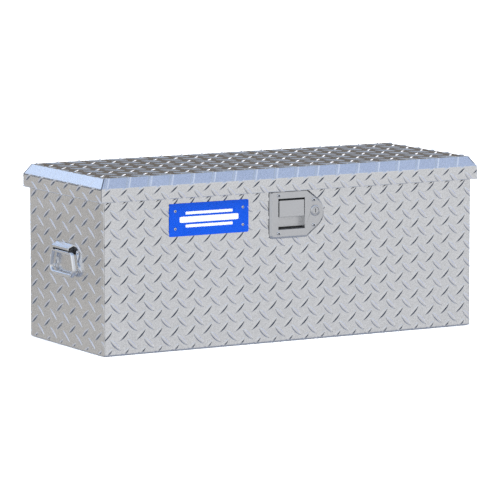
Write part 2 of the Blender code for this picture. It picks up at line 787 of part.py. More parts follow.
def make_lock(pivot):
    """Key cylinder: sleeve with its face ring, nut, turning plug and the cam behind it."""
    x, z = LOCK_CENTRE
    base = (x, PAN_FACE - GAP, z)
    length = LOCK_BACK_Y - PAN_FACE
    sleeve = turned("lock_sleeve", [
        (0.0095, 0.0022), (LOCK_RING_RADIUS, 0.0006), (LOCK_RING_RADIUS, 0.0),
        (LOCK_SLEEVE_RADIUS, 0.0), (LOCK_SLEEVE_RADIUS, -length), (0.0078, -length),
        (0.0078, 0.0022),
    ], base, (0, -1, 0), 20, closed=True)
    finish_part(sleeve, "chrome")
    nut_front = FRONT + SHEET + GAP
    nut = plate("lock_nut", [circle(LOCK_CENTRE, 0.0150, 6),
                             circle(LOCK_CENTRE, LOCK_SLEEVE_RADIUS + GAP, 20)],
                nut_front, nut_front + 0.005, "front")
    finish_part(nut, "zinc")
    face = PAN_FACE - 0.0018
    plug = cylinder("lock_plug", LOCK_PLUG_RADIUS, (x, face, z), (x, LOCK_BACK_Y + 0.0005, z), 20)
    slot = box("lock_key_slot", (x - 0.0008, face - 0.001, z - 0.0042),
               (x + 0.0008, face + 0.006, z + 0.0042))
    cut(plug, slot)
    finish_part(plug, "chrome", pivot)
    cam_front = LOCK_BACK_Y + 0.0005 + GAP
    cam = plate("lock_cam", [rounded([
        (x - 0.008, z - 0.030, 0.003), (x + 0.004, z - 0.030, 0.003),
        (x + 0.009, z + 0.009, 0.005), (x - 0.009, z + 0.009, 0.005),
    ])], cam_front, cam_front + 0.002, "front")
    finish_part(cam, "zinc", pivot)


def make_latch(lid_pivot):
    paddle_pivot = make_pivot("paddle_pull_axis", ((PADDLE_X[0] + PADDLE_X[1]) / 2, *PADDLE_AXIS))
    pawl_pivot = make_pivot("pawl_turn_axis", (LATCH_X, *PAWL_AXIS))
    lock_pivot = make_pivot("lock_turn_axis", (LOCK_CENTRE[0], PAN_FACE, LOCK_CENTRE[1]))
    make_latch_pan()
    make_latch_gasket()
    make_latch_screws()
    make_paddle(paddle_pivot)
    make_paddle_pin()
    make_coil_spring("paddle_spring", RECESS_X[0] + 0.0010, 3, 0.0013, 0.0021, 0.0004, PADDLE_AXIS)
    make_latch_case()
    make_pawl(pawl_pivot)
    make_pawl_pin()
    make_coil_spring("pawl_spring", LATCH_X + 0.0040, 4, 0.0021, 0.0045, 0.0007, PAWL_AXIS)
    make_striker(lid_pivot)
    make_lock(lock_pivot)


# Badge

def rivet_profile(head_size, shank_size):
    """A domed rivet from the middle of its head to the end of its shank.

    head_size is (radius, rise) and shank_size is (radius, length).
    """
    head, rise = head_size
    shank, length = shank_size
    return [
        (0.0, rise), (head * 0.55, rise * 0.82), (head * 0.88, rise * 0.42), (head, 0.0),
        (shank, 0.0), (shank, -length), (0.0, -length),
    ]


def make_badge():
    half_x, half_z = BADGE_SIZE[0] / 2, BADGE_SIZE[1] / 2
    x, z = BADGE_CENTRE
    places = badge_rivet_places()
    holes = [circle(centre, BADGE_RIVET_SHANK[0] + GAP, 12) for centre in places.values()]
    outline = rectangle((x - half_x, z - half_z), (x + half_x, z + half_z), 0.003)
    back = FRONT - GAP
    badge = plate("badge_plate", [outline, *holes], back - BADGE_THICKNESS, back, "front")
    finish_part(badge, "blue_enamel")
    for place, (rivet_x, rivet_z) in places.items():
        base = (rivet_x, back - BADGE_THICKNESS - GAP, rivet_z)
        profile = rivet_profile(BADGE_RIVET_HEAD, BADGE_RIVET_SHANK)
        rivet = turned(f"badge_rivet_{place}", profile, base, (0, -1, 0), 12)
        finish_part(rivet, "stainless")


# End handles

def handle_plate_outline():
    """The handle's back plate, seen square on: a bar across the top and two legs with ears."""
    z = HANDLE_AXIS_Z
    half = [
        (0.0460, 0.0185, 0.002), (0.0615, 0.0080, 0.004), (0.0600, -0.0060, 0.006),
        (0.0520, -0.0180, 0.006), (0.0620, -0.0260, 0.006), (0.0620, -0.0400, 0.006),
        (0.0500, -0.0480, 0.006), (0.0390, -0.0440, 0.004), (0.0380, -0.0280, 0.003),
        (0.0420, -0.0160, 0.003), (0.0370, -0.0060, 0.004),
    ]
    right = [(across, z + along, radius) for across, along, radius in half]
    left = [(-across, height, radius) for across, height, radius in reversed(right)]
    return rounded(right + left, 2)


def make_handle_base(side, sign):
    """Plate, and the sloping hood with its lip that keeps the bail's top bar."""
    wall = END + GAP
    top = wall + HANDLE_PLATE
    low, high = sorted((sign * wall, sign * top))
    outlines = [handle_plate_outline(), *handle_rivet_holes()]
    base = plate(f"{side}_handle_base", outlines, low, high, "end")
    z = HANDLE_AXIS_Z
    out = HANDLE_AXIS_OUT + BAIL_RADIUS
    section = [
        (wall + 0.0005, z + 0.0180), (top + 0.0006, z + 0.0180),
        (END + out + 0.0026, z + 0.0072), (END + out + 0.0026, z + 0.0020),
        (END + out + 0.0008, z + 0.0020), (END + out + 0.0008, z + 0.0062),
        (top, z + 0.0155), (wall + 0.0005, z + 0.0155),
    ]
    hood = plate(f"{side}_handle_hood", [[(sign * x, height) for x, height in section]],
                 -HOOD_HALF_WIDTH, HOOD_HALF_WIDTH, "front")
    join(base, hood)
    finish_part(base, "chrome")


def make_bail(side, sign, pivot):
    """A closed loop of round bar that hangs from the hood, wider at its foot."""
    z = HANDLE_AXIS_Z
    x = sign * (END + HANDLE_AXIS_OUT)
    top_corner, foot_corner = BAIL_CORNERS
    outline = rounded([
        (-BAIL_TOP_HALF, z, top_corner),
        (BAIL_TOP_HALF, z, top_corner),
        (BAIL_BOTTOM_HALF, z - BAIL_DROP, foot_corner),
        (-BAIL_BOTTOM_HALF, z - BAIL_DROP, foot_corner),
    ], 5)
    points = [(x, y, height) for y, height in outline]
    bail = wire(f"{side}_bail", points, BAIL_RADIUS, cyclic=True, resolution=3)
    finish_part(bail, "chrome", pivot)


def make_handle(side, sign):
    pivot = make_pivot(f"{side}_bail_axis", (sign * (END + HANDLE_AXIS_OUT), 0.0, HANDLE_AXIS_Z))
    make_handle_base(side, sign)
    make_bail(side, sign, pivot)
    for place, (y, z) in handle_rivet_places().items():
        base = (sign * (END + 2 * GAP + HANDLE_PLATE), y, z)
        profile = rivet_profile(HANDLE_RIVET_HEAD, HANDLE_RIVET_SHANK)
        rivet = turned(f"{side}_handle_rivet_{place}", profile, base, (sign, 0, 0), 12)
        finish_part(rivet, "stainless")


# Gas struts

def make_strut(side, sign, lid_pivot):
    """A gas strut from a stud on the end panel to a stud under the lid."""
    lower = Vector((sign * STRUT_X, *STRUT_LOWER))
    upper = Vector((sign * STRUT_X, *STRUT_UPPER))
    along = (upper - lower).normalized()
    length = (upper - lower).length
    across = Vector((sign, 0, 0))
    tilt = make_pivot(f"{side}_strut_axis", lower)

    wall = sign * (END - SHEET - GAP)
    low, high = sorted((wall, wall - sign * 0.002))
    foot = rectangle((STRUT_LOWER[0] - 0.015, STRUT_LOWER[1] - 0.020),
                     (STRUT_LOWER[0] + 0.015, STRUT_LOWER[1] + 0.020), 0.004)
    bracket = plate(f"{side}_strut_foot", [foot], low, high, "end")
    stud = cylinder(f"{side}_strut_foot_stud", STRUT_STUD_RADIUS,
                    (wall - sign * 0.001, *STRUT_LOWER),
                    lower - across * (STRUT_EYE_HALF + 0.0015), 12)
    collar = cylinder(f"{side}_strut_foot_collar", 0.0075, (wall - sign * 0.001, *STRUT_LOWER),
                      lower + across * (STRUT_EYE_HALF + GAP), 12)
    join(bracket, collar, stud)
    finish_part(bracket, "zinc")

    start, end = STRUT_TUBE_LENGTH
    tube = turned(f"{side}_strut_tube", [
        (STRUT_TUBE_RADIUS - 0.001, end), (STRUT_TUBE_RADIUS, end - 0.001),
        (STRUT_TUBE_RADIUS, start + 0.001), (STRUT_TUBE_RADIUS - 0.001, start),
        (0.0, start), (0.0, start + 0.012), (0.0064, start + 0.012), (0.0064, end - 0.012),
        (STRUT_ROD_RADIUS + GAP, end - 0.012), (STRUT_ROD_RADIUS + GAP, end),
    ], lower, along, 16, closed=True)
    neck = cylinder(f"{side}_strut_tube_neck", 0.004, lower, lower + along * (start + 0.003), 12)
    eye = cylinder(f"{side}_strut_tube_eye", STRUT_EYE_RADIUS, lower - across * STRUT_EYE_HALF,
                   lower + across * STRUT_EYE_HALF, 16)
    hole = cylinder(f"{side}_strut_tube_hole", STRUT_STUD_RADIUS + GAP, lower - across * 0.01,
                    lower + across * 0.01, 12)
    join(tube, neck, eye)
    cut(tube, hole)
    finish_part(tube, "black_paint", tilt)

    rod = turned(f"{side}_strut_rod", [
        (0.0, length - 0.003), (STRUT_ROD_RADIUS, length - 0.003),
        (STRUT_ROD_RADIUS, 0.034), (0.0061, 0.034), (0.0061, 0.026), (0.0, 0.026),
    ], lower, along, 12)
    rod_eye = cylinder(f"{side}_strut_rod_eye", STRUT_EYE_RADIUS - 0.001,
                       upper - across * STRUT_EYE_HALF, upper + across * STRUT_EYE_HALF, 16)
    rod_hole = cylinder(f"{side}_strut_rod_hole", STRUT_STUD_RADIUS + GAP,
                        upper - across * 0.01, upper + across * 0.01, 12)
    join(rod, rod_eye)
    cut(rod, rod_hole)
    finish_part(rod, "chrome", tilt)

    # The lid's bracket stands on the inboard side, and its stud stops just short of the
    # rod's eye, because this pivot is the one where the linkage is opened.
    top = LINER_BOTTOM - GAP
    web = upper - across * (STRUT_EYE_HALF + 0.0090)
    web_low, web_high = sorted((web.x, web.x - sign * 0.002))
    hanger = box(f"{side}_strut_hanger", (web_low, upper.y - 0.012, upper.z - 0.008),
                 (web_high, upper.y + 0.012, top))
    flange_low, flange_high = sorted((web.x, web.x - sign * 0.022))
    flange = box(f"{side}_strut_hanger_flange", (flange_low, upper.y - 0.012, top - 0.002),
                 (flange_high, upper.y + 0.012, top))
    head = cylinder(f"{side}_strut_hanger_stud", STRUT_STUD_RADIUS, web - across * 0.001,
                    upper - across * (STRUT_EYE_HALF + 0.0005), 12)
    join(hanger, flange, head)
    finish_part(hanger, "zinc", lid_pivot)


def build():
    lid_pivot = make_pivot("lid_hinge_axis", (0.0, HINGE_Y, HINGE_Z))
    make_tub_wrap()
    make_weather_seal()
    for side, sign in (("front", -1), ("back", 1)):
        make_rim_rail(f"rim_{side}", True, sign)
    for side, sign in (("left", -1), ("right", 1)):
        make_end_panel(side, sign)
        make_rim_rail(f"rim_{side}", False, sign)
        make_handle(side, sign)
        make_strut(side, sign, lid_pivot)
    make_lid_skin(lid_pivot)
    make_lid_liner(lid_pivot)
    make_lid_core(lid_pivot)
    make_hinge(lid_pivot)
    make_latch(lid_pivot)
    make_badge()


clear_scene()
PARTS = new_collection("truck_tool_box")
CUTTERS = new_collection("cutters")
MATERIALS = {name: make_material(name) for name in COLOURS}
build()
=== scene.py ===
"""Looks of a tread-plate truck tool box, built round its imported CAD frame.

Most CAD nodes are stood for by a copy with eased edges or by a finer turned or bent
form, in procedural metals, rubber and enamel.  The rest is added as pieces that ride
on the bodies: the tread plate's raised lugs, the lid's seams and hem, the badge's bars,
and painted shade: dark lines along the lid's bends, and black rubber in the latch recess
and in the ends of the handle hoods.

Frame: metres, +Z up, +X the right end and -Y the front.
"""

import json
import math
import random

import bmesh
import bpy
import numpy as np
from mathutils import Matrix, Vector

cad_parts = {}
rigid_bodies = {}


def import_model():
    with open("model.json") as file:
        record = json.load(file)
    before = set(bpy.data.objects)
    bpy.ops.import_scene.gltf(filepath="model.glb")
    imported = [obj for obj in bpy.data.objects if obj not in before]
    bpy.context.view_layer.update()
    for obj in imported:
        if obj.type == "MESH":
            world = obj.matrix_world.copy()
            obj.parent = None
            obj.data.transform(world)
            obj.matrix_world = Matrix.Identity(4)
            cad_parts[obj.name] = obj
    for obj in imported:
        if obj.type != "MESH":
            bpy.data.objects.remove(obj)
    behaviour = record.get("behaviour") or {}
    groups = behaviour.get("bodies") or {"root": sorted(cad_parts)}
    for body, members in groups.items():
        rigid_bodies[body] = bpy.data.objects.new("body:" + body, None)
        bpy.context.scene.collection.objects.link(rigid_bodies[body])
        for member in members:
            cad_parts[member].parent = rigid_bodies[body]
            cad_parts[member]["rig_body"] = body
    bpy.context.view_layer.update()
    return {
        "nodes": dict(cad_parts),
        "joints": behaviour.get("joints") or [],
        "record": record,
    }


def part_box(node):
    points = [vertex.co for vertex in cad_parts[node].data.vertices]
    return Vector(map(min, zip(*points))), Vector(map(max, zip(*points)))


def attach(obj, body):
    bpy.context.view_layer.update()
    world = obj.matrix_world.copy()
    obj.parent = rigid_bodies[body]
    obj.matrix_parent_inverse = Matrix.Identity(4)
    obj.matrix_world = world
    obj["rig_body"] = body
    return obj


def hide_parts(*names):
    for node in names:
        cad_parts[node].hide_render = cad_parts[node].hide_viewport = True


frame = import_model()
NODES = frame["nodes"]

# The sheet-metal faces that the tread pattern lies on, read from the CAD.
TUB_LOW, TUB_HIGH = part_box("tub_wrap")
LID_LOW, LID_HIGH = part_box("lid_skin")
END_LOW, END_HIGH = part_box("left_end_panel")
FRONT_Y = TUB_LOW.y
BACK_Y = TUB_HIGH.y
END_X = abs(END_LOW.x)
WALL_TOP = TUB_HIGH.z
BEND_RADIUS = 0.003
LID_BEVEL_RUN = 0.01372
LID_BEVEL_RISE = 0.0212
BEVEL_FOOT = LID_HIGH.z - LID_BEVEL_RISE

# Tread pattern.  Pitches and first lugs are (along, across) each face, and spans are
# a lug's share of the pitch, tip to tip.
LUG_GRID = 9
LUG_HEIGHT = 0.0015
LUG_WIDTH = 0.0102
LUG_SINK = 0.0002
LUG_SPAN = 0.62
LUG_VARIES = 0.06
END_LUG_WIDTH = 0.0084
END_LUG_SPAN = 0.55
LID_LUG_HEIGHT = 0.0020
LID_LUG_WIDTH = 0.0080
RIDGE_ROUND = 0.08
FLANK_CURVE = 1.3
TIP_CURVE = 0.65
TIP_SHARE = 0.96
WALL_PITCH = (0.0392, 0.0384)
WALL_FIRST = (0.0047, 0.0018)
END_PITCH = (0.0585, 0.0385)
END_FIRST = (0.0188, -0.0002)
LID_PITCH = (0.0500, 0.0585)
LID_FIRST = (0.0182, 0.0433)
SKIRT_FIRST = {"front": 0.0130, "back": 0.0130, "left": 0.0240, "right": 0.0240}
SKIRT_ROW = 0.0237
SKIRT_PAST = 0.0025
EDGE_GAP = 0.0005

# Lugs pressed nearly flat where the lid is bent, and the wide bands on its bevels.
PRESSED_FROM, PRESSED_TO = -0.001, 0.003
FLATTENED = 0.30
BAND_START = 0.0165
BAND_WIDTH = 0.0105
BAND_HEIGHT = 0.0008
SIDE_BAND_SHARE = 0.3
BAND_REACH = 2.6
MITRE_GAP = 0.001

# Lid trim: bend radius, dark bend lines painted as shade (from, to, proud), hem and mitre seams.
LID_BEND = 0.0018
NEAR = 1e-4
BEND_LINE = (0.0009, 0.0022, 0.00025)
BEND_LINE_DEPTH = 0.0003
BEND_LINE_GAP = 0.002
HEM_RADIUS = 0.0009
HEM_SHOWN = 0.55
HEM_CORNER = 0.001
SEAM_HALF = 0.0012
SEAM_RISE = 0.0006
SEAM_PAST = 0.0002
SEAM_SECTION = ((-1, -0.6), (-0.5, 0.5), (0.5, 0.5), (1, -0.6))
CORNER_HALF = 0.0005

# Edges sharper than this are eased.
SHARP = math.radians(28)
TURNED_SIDES = 40

# Latch recess, behind the paddle, as (low, high) along X and Z; and its floor.
RECESS_X = (-0.0366, 0.0279)
RECESS_Z = (0.2375, 0.3028)
RECESS_FLOOR = -0.1600
RECESS_GAP = 0.0001
PAD_ROUND = 0.0002
PADDLE_GAP_Z = 0.2625
TAIL_SLOT_LEFT = -0.0115
# The gasket is spread past the pan so a black edge shows round it: partly the real gasket, partly
# painted shade.
GASKET_SPREAD = 0.020

# Rivets: radius and height of the head, radius of the shank and of the hole through it.
BADGE_RIVET = (0.0032, 0.0013, 0.0016, 0.0012)
HANDLE_RIVET = (0.0038, 0.0016, 0.0020, 0.0)
HOLE_DEPTH = 0.0013
HOLE_LIP = 0.0002
# Shares of the way out across a rivet's head, and of its height fallen there.
DOME = ((0.2, 0.02), (0.5, 0.18), (0.8, 0.52), (0.96, 0.84))

# Bail: half widths and corner radii at its top and foot, its drop and its bar.
BAIL_HALF = (0.0425, 0.0565)
BAIL_CORNERS = (0.007, 0.013)
BAIL_DROP = 0.0465
BAIL_RADIUS = 0.004

# Handle hood: its lip, how far its edge is lifted and rolled, and the black rubber blocks that
# paint the shade inside its ends.
HOOD_LIP = (0.0022, 0.0012)
HOOD_LIFT = 0.0044
HOOD_ROLL = 0.0040
HOOD_FACE = 0.0002
HOOD_HALF = 0.0370
HOOD_SHADE_LENGTH = 0.0045
HOOD_SHADE_GAP = 0.0003

SEAL_CORNER = 0.012

# White bars on the badge: (height above its middle, half length, half height).
BADGE_BARS = ((0.0135, 0.0560, 0.0030), (0.0, 0.0700, 0.0062), (-0.0135, 0.0560, 0.0030))
BADGE_BAR_ROUND = 0.6
INK = 0.00012

# Camera.
AZIMUTH = math.radians(-29.79)
ELEVATION = math.radians(7.444)
CAMERA_DISTANCE = 8.015
LENS_MM = 268.8
AIM_SIDE = -0.00456
AIM_HEIGHT = 0.1729

# Studio.
FLOOR_HALF = 40.0
FLOOR_GAP = 0.0001
SUN_ENERGY = 4.6
SUN_ANGLE = math.radians(40)
SUN_TURN = (math.radians(9), math.radians(-5), 0)
CARD_CENTRE = Vector((-1.441, 1.720, -0.064))
CARD_FACING = Vector((0.4968, -0.8679, 0))
CARD_SIZE = (0.30, 0.56)
# Height and colour, from the card's foot up.
CARD_STOPS = (
    (-0.304, (0.62, 0.61, 0.60)),
    (-0.204, (0.58, 0.57, 0.56)),
    (-0.124, (0.46, 0.45, 0.44)),
    (-0.064, (0.38, 0.37, 0.36)),
    (-0.004, (0.37, 0.36, 0.35)),
    (0.046, (0.47, 0.46, 0.45)),
    (0.116, (0.60, 0.58, 0.56)),
)
# The surround's colour by elevation, in degrees.
SKY = (
    (-90, (0.40, 0.42, 0.48)),
    (-60, (0.30, 0.36, 0.50)),
    (-42, (0.33, 0.36, 0.43)),
    (-20, (0.34, 0.36, 0.41)),
    (-13, (0.48, 0.49, 0.53)),
    (-8, (0.68, 0.69, 0.71)),
    (0, (0.85, 0.86, 0.88)),
    (12, (0.84, 0.88, 0.95)),
    (28, (0.63, 0.76, 0.98)),
    (45, (0.46, 0.57, 0.80)),
    (60, (0.33, 0.44, 0.62)),
    (90, (0.45, 0.50, 0.60)),
)
# Soft panels on it, later ones over earlier: azimuth, elevation, half width and half
# height in degrees, and colour.
PANELS = (
    # What the front, its lugs and the latch reflect.
    (-80, 15, 62, 24, (0.68, 0.69, 0.71)),
    (-57, -28, 10, 15, (0.66, 0.66, 0.67)),
    (-44, -47, 13, 12, (0.64, 0.64, 0.66)),
    (-95, -42, 14, 10, (0.14, 0.16, 0.23)),
    (-76, -24, 17, 14, (0.62, 0.63, 0.67)),
    (-27, -25, 24, 13, (0.030, 0.045, 0.080)),
    # The left end's lugs and its handle.
    (133, -27, 13, 13, (0.075, 0.100, 0.150)),
    (84, -19, 11, 8, (0.10, 0.11, 0.15)),
    (99, -30, 10, 10, (0.56, 0.55, 0.53)),
    (-143, -6, 12, 24, (0.60, 0.61, 0.63)),
    (-26, 13, 13, 9, (0.50, 0.53, 0.70)),
    # The front bevel and its bands, then the left bevel.
    (-46, 48, 18, 11, (0.400, 0.495, 0.725)),
    (-22, 38, 12, 9, (0.64, 0.72, 0.90)),
    (-76, 52, 14, 11, (0.58, 0.66, 0.84)),
    (110, 25, 16, 11, (0.68, 0.83, 1.12)),
    # The left end's flat face and the light sides of its lugs.
    (120, -7, 16, 9, (0.43, 0.42, 0.41)),
    (142, 12, 13, 14, (0.56, 0.58, 0.70)),
    (101, 2, 12, 7, (0.54, 0.59, 0.74)),
    # The lid's top, the bright sides of its lugs, and the bend under the left bevel.
    (70, 50, 26, 20, (0.34, 0.35, 0.38)),
    (74, 28, 22, 14, (0.27, 0.262, 0.25)),
    (62, 7, 30, 17, (0.160, 0.142, 0.125)),
    (40, 17, 8, 6, (2.3, 2.3, 2.4)),
    (117, 11, 14, 5, (0.04, 0.045, 0.06)),
)
PANEL_FULL, PANEL_NONE = 0.45, 1.3


# ---------------------------------------------------------------- node helpers


class Tree:
    """A node tree under construction.  add() makes a node, sets values, links sockets."""

    def __init__(self, owner):
        owner.use_nodes = True
        self.tree = owner.node_tree
        self.tree.nodes.clear()

    def add(self, kind, settings=None, **inputs):
        node = self.tree.nodes.new(kind)
        for key, value in (settings or {}).items():
            setattr(node, key, value)
        for key, value in inputs.items():
            name = key.replace("_", " ")
            socket = node.inputs[int(key[1:])] if key[1:].isdigit() else node.inputs[name]
            if isinstance(value, bpy.types.NodeSocket):
                self.tree.links.new(value, socket)
            else:
                socket.default_value = value
        return node

    def math(self, operation, *values):
        inputs = {f"i{index}": value for index, value in enumerate(values)}
        return self.add("ShaderNodeMath", {"operation": operation}, **inputs).outputs[0]

    def remap(self, value, low, high, to_low, to_high):
        """value from low..high to to_low..to_high, eased at both ends."""
        node = self.add("ShaderNodeMapRange", {"interpolation_type": "SMOOTHSTEP"}, i0=value)
        for index, number in enumerate((low, high, to_low, to_high), start=1):
            node.inputs[index].default_value = number
        return node.outputs[0]

    def mix(self, factor, a, b):
        node = self.add("ShaderNodeMix", {"data_type": "RGBA"})
        for index, value in ((0, factor), (6, a), (7, b)):
            if isinstance(value, bpy.types.NodeSocket):
                self.tree.links.new(value, node.inputs[index])
            else:
                node.inputs[index].default_value = value
        return node.outputs[2]

    def ramp(self, value, stops):
        """stops are (position, colour) pairs, in order."""
        node = self.add("ShaderNodeValToRGB", Fac=value)
        elements = node.color_ramp.elements
        while len(elements) > 1:
            elements.remove(elements[-1])
        elements[0].position = stops[0][0]
        elements[0].color = (*stops[0][1], 1)
        for position, colour in stops[1:]:
            elements.new(position).color = (*colour, 1)
        return node.outputs[0]

    def noise(self, where, scale, stretch=(1, 1, 1), detail=3.0, rough=0.55):
        """Noise of about 1/scale metres across, drawn out along an axis by stretch."""
        mapped = self.add("ShaderNodeMapping", Vector=where, Scale=stretch).outputs[0]
        return self.add(
            "ShaderNodeTexNoise", Vector=mapped, Scale=scale, Detail=detail, Roughness=rough
        ).outputs[0]

    def bump(self, height, distance, strength=1.0, normal=None):
        inputs = {"Height": height, "Distance": distance, "Strength": strength}
        if normal is not None:
            inputs["Normal"] = normal
        return self.add("ShaderNodeBump", **inputs).outputs[0]


def grey(value):
    return (value, value, value, 1)


def principled(name, **values):
    """A material and its tree, with a Principled shader whose sockets take values."""
    material = bpy.data.materials.new(name)
    tree = Tree(material)
    shader = tree.add("ShaderNodeBsdfPrincipled", **values)
    output = tree.add("ShaderNodeOutputMaterial")
    tree.tree.links.new(shader.outputs[0], output.inputs[0])
    where = tree.add("ShaderNodeTexCoord").outputs["Object"]
    return material, tree, shader, where


def drive(tree, shader, **sockets):
    for key, value in sockets.items():
        tree.tree.links.new(value, shader.inputs[key.replace("_", " ")])


# ------------------------------------------------------------------- materials


def grained(name, colours, grain, rough, bump, mottle=None, **values):
    """A material with one grain, and two colours mixed by its mottle or else its grain.

    grain and mottle are a noise's (scale, detail); bump is (distance, strength)."""
    material, tree, shader, where = principled(name, **values)
    fine = tree.noise(where, grain[0], detail=grain[1])
    broad = tree.noise(where, mottle[0], detail=mottle[1]) if mottle else fine
    colour = tree.mix(broad, *colours)
    drive(tree, shader, Base_Color=colour, Roughness=tree.remap(fine, 0.3, 0.7, *rough))
    drive(tree, shader, Normal=tree.bump(fine, *bump))
    return material


def tread_metal():
    """Bright rolled aluminium: speckled grain, faint rolling streaks, a few dull clouds."""
    material, tree, shader, where = principled("tread_metal", Metallic=1.0)
    grain = tree.noise(where, 430.0, detail=3.0, rough=0.7)
    speck = tree.noise(where, 330.0, detail=2.0, rough=0.6)
    streak = tree.noise(where, 90.0, stretch=(0.2, 1, 1), detail=4.0)
    cloud = tree.noise(where, 9.0, detail=3.0)
    tone = tree.remap(speck, 0.3, 0.7, 0, 0.8)
    tone = tree.math("ADD", tone, tree.remap(cloud, 0.3, 0.7, 0, 0.2))
    colour = tree.mix(tone, grey(0.80), grey(0.97))
    rough = tree.remap(grain, 0.3, 0.7, 0.13, 0.20)
    rough = tree.math("ADD", rough, tree.remap(cloud, 0.3, 0.7, 0.0, 0.05))
    coarse = tree.bump(streak, 0.0004, 0.12)
    fine = tree.bump(grain, 0.00022, 0.8, coarse)
    drive(tree, shader, Base_Color=colour, Roughness=rough, Normal=fine)
    return material


def mill_sheet():
    """Plain rolled aluminium sheet: soft streaks one way and a satin finish."""
    material, tree, shader, where = principled("mill_sheet_metal", Metallic=1.0)
    streak = tree.noise(where, 240.0, stretch=(0.05, 1, 1), detail=4.0)
    cloud = tree.noise(where, 14.0)
    colour = tree.mix(tree.remap(cloud, 0.3, 0.7, 0, 1), grey(0.78), grey(0.85))
    rough = tree.remap(streak, 0.3, 0.7, 0.30, 0.44)
    drive(tree, shader, Base_Color=colour, Roughness=rough)
    drive(tree, shader, Normal=tree.bump(streak, 0.0002, 0.4))
    return material


def chrome():
    """Polished plating with the faint waviness of a pressed part under it."""
    material, tree, shader, where = principled("chrome_plate", Metallic=1.0)
    wave = tree.noise(where, 70.0, detail=2.0)
    scuff = tree.noise(where, 900.0, detail=3.0)
    colour = tree.mix(wave, (0.86, 0.87, 0.89, 1), (0.93, 0.94, 0.95, 1))
    drive(tree, shader, Base_Color=colour, Roughness=tree.remap(scuff, 0.4, 0.8, 0.05, 0.16))
    drive(tree, shader, Normal=tree.bump(wave, 0.0003, 0.25))
    return material


def foam():
    material, tree, shader, where = principled("lid_foam", Roughness=0.9)
    cell = tree.add("ShaderNodeTexVoronoi", Vector=where, Scale=900.0).outputs[0]
    colour = tree.mix(cell, (0.55, 0.50, 0.38, 1), (0.72, 0.68, 0.55, 1))
    drive(tree, shader, Base_Color=colour, Normal=tree.bump(cell, 0.0004, 0.8))
    return material


def socket_shade_paint():
    """Near-black dull colour painted down inside sockets and rivet holes as their shade."""
    material, tree, shader, where = principled("socket_shade_paint")
    grit = tree.noise(where, 1300.0, detail=3.0)
    colour = tree.mix(grit, grey(0.006), grey(0.020))
    drive(tree, shader, Base_Color=colour, Roughness=tree.remap(grit, 0.3, 0.7, 0.55, 0.8))
    return material


def floor_paper():
    material, tree, shader, where = principled("floor_paper", Roughness=0.9)
    tooth = tree.noise(where, 40.0)
    drive(tree, shader, Base_Color=tree.mix(tooth, grey(0.90), grey(0.92)))
    return material


# Dark grey seam filler, also used as painted shade along the lid's bends, screen-printed white,
# and polished screw and rivet heads.
FILLER_AND_BEND_SHADE = grained(
    "seam_filler_and_bend_shade", ((0.035, 0.042, 0.055, 1), (0.060, 0.070, 0.090, 1)),
    (420.0, 3.0), (0.45, 0.65), (0.0002, 0.5),
)
WHITE_ENAMEL = grained(
    "white_enamel_ink", (grey(0.80), grey(0.86)),
    (850.0, 2.0), (0.38, 0.52), (0.00005, 0.3), Coat_Weight=0.2, Coat_Roughness=0.25,
)
BRIGHT_STEEL = grained(
    "bright_steel", (grey(0.90), grey(0.98)),
    (1100.0, 2.0), (0.12, 0.22), (0.00004, 0.4), Metallic=1.0,
)
SOCKET_SHADE = socket_shade_paint()
SLOTS = {part["node"]: part["material_slot"] for part in frame["record"]["subparts"]}
FINISHES = {
    "tread_plate": tread_metal(),
    "mill_sheet": mill_sheet(),
    "stainless": grained(
        "satin_stainless", (grey(0.74), grey(0.80)),
        (1400.0, 2.0), (0.30, 0.42), (0.00006, 0.5), (30.0, 3.0), Metallic=1.0,
    ),
    "zinc": grained(
        "zinc_plate", ((0.62, 0.64, 0.68, 1), (0.74, 0.75, 0.77, 1)),
        (160.0, 4.0), (0.26, 0.45), (0.0001, 0.4), Metallic=1.0,
    ),
    "chrome": chrome(),
    "black_paint": grained(
        "black_gloss_paint", ((0.012, 0.012, 0.013, 1), (0.022, 0.022, 0.024, 1)),
        (700.0, 2.0), (0.22, 0.36), (0.0001, 0.3), Coat_Weight=0.4, Coat_Roughness=0.12,
    ),
    "rubber": grained(
        "black_rubber", ((0.018, 0.018, 0.019, 1), (0.040, 0.040, 0.041, 1)),
        (1500.0, 4.0), (0.62, 0.85), (0.00015, 0.6), (25.0, 3.0), Sheen_Weight=0.15,
    ),
    "foam": foam(),
    "blue_enamel": grained(
        "blue_enamel_ink", ((0.0001, 0.068, 0.52, 1), (0.0002, 0.082, 0.60, 1)),
        (850.0, 2.0), (0.36, 0.50), (0.00005, 0.3), (18.0, 3.0), Specular_IOR_Level=0.15,
    ),
}


def dress_cad_nodes():
    """Gives each CAD node the finish of its slot in the record."""
    for node, slot in SLOTS.items():
        data = NODES[node].data
        data.materials.clear()
        data.materials.append(FINISHES[slot])


# ----------------------------------------------------------------- tread lugs


def lug_points():
    """One lug over -1..1 by -1..1: rows of (along, across, height), tips left out."""
    rows = []
    for ring in range(LUG_GRID):
        along = math.sin(math.pi / 2 * (2 * (ring + 1) / (LUG_GRID + 1) - 1) * TIP_SHARE)
        reach = (1 - along * along) ** TIP_CURVE
        row = []
        for column in range(LUG_GRID):
            side = 2 * column / (LUG_GRID - 1) - 1
            fall = math.hypot(side, RIDGE_ROUND) - RIDGE_ROUND
            rise = 1 - (fall / (math.hypot(1, RIDGE_ROUND) - RIDGE_ROUND)) ** FLANK_CURVE
            row.append((along, side * reach, rise * reach))
        rows.append(row)
    return rows


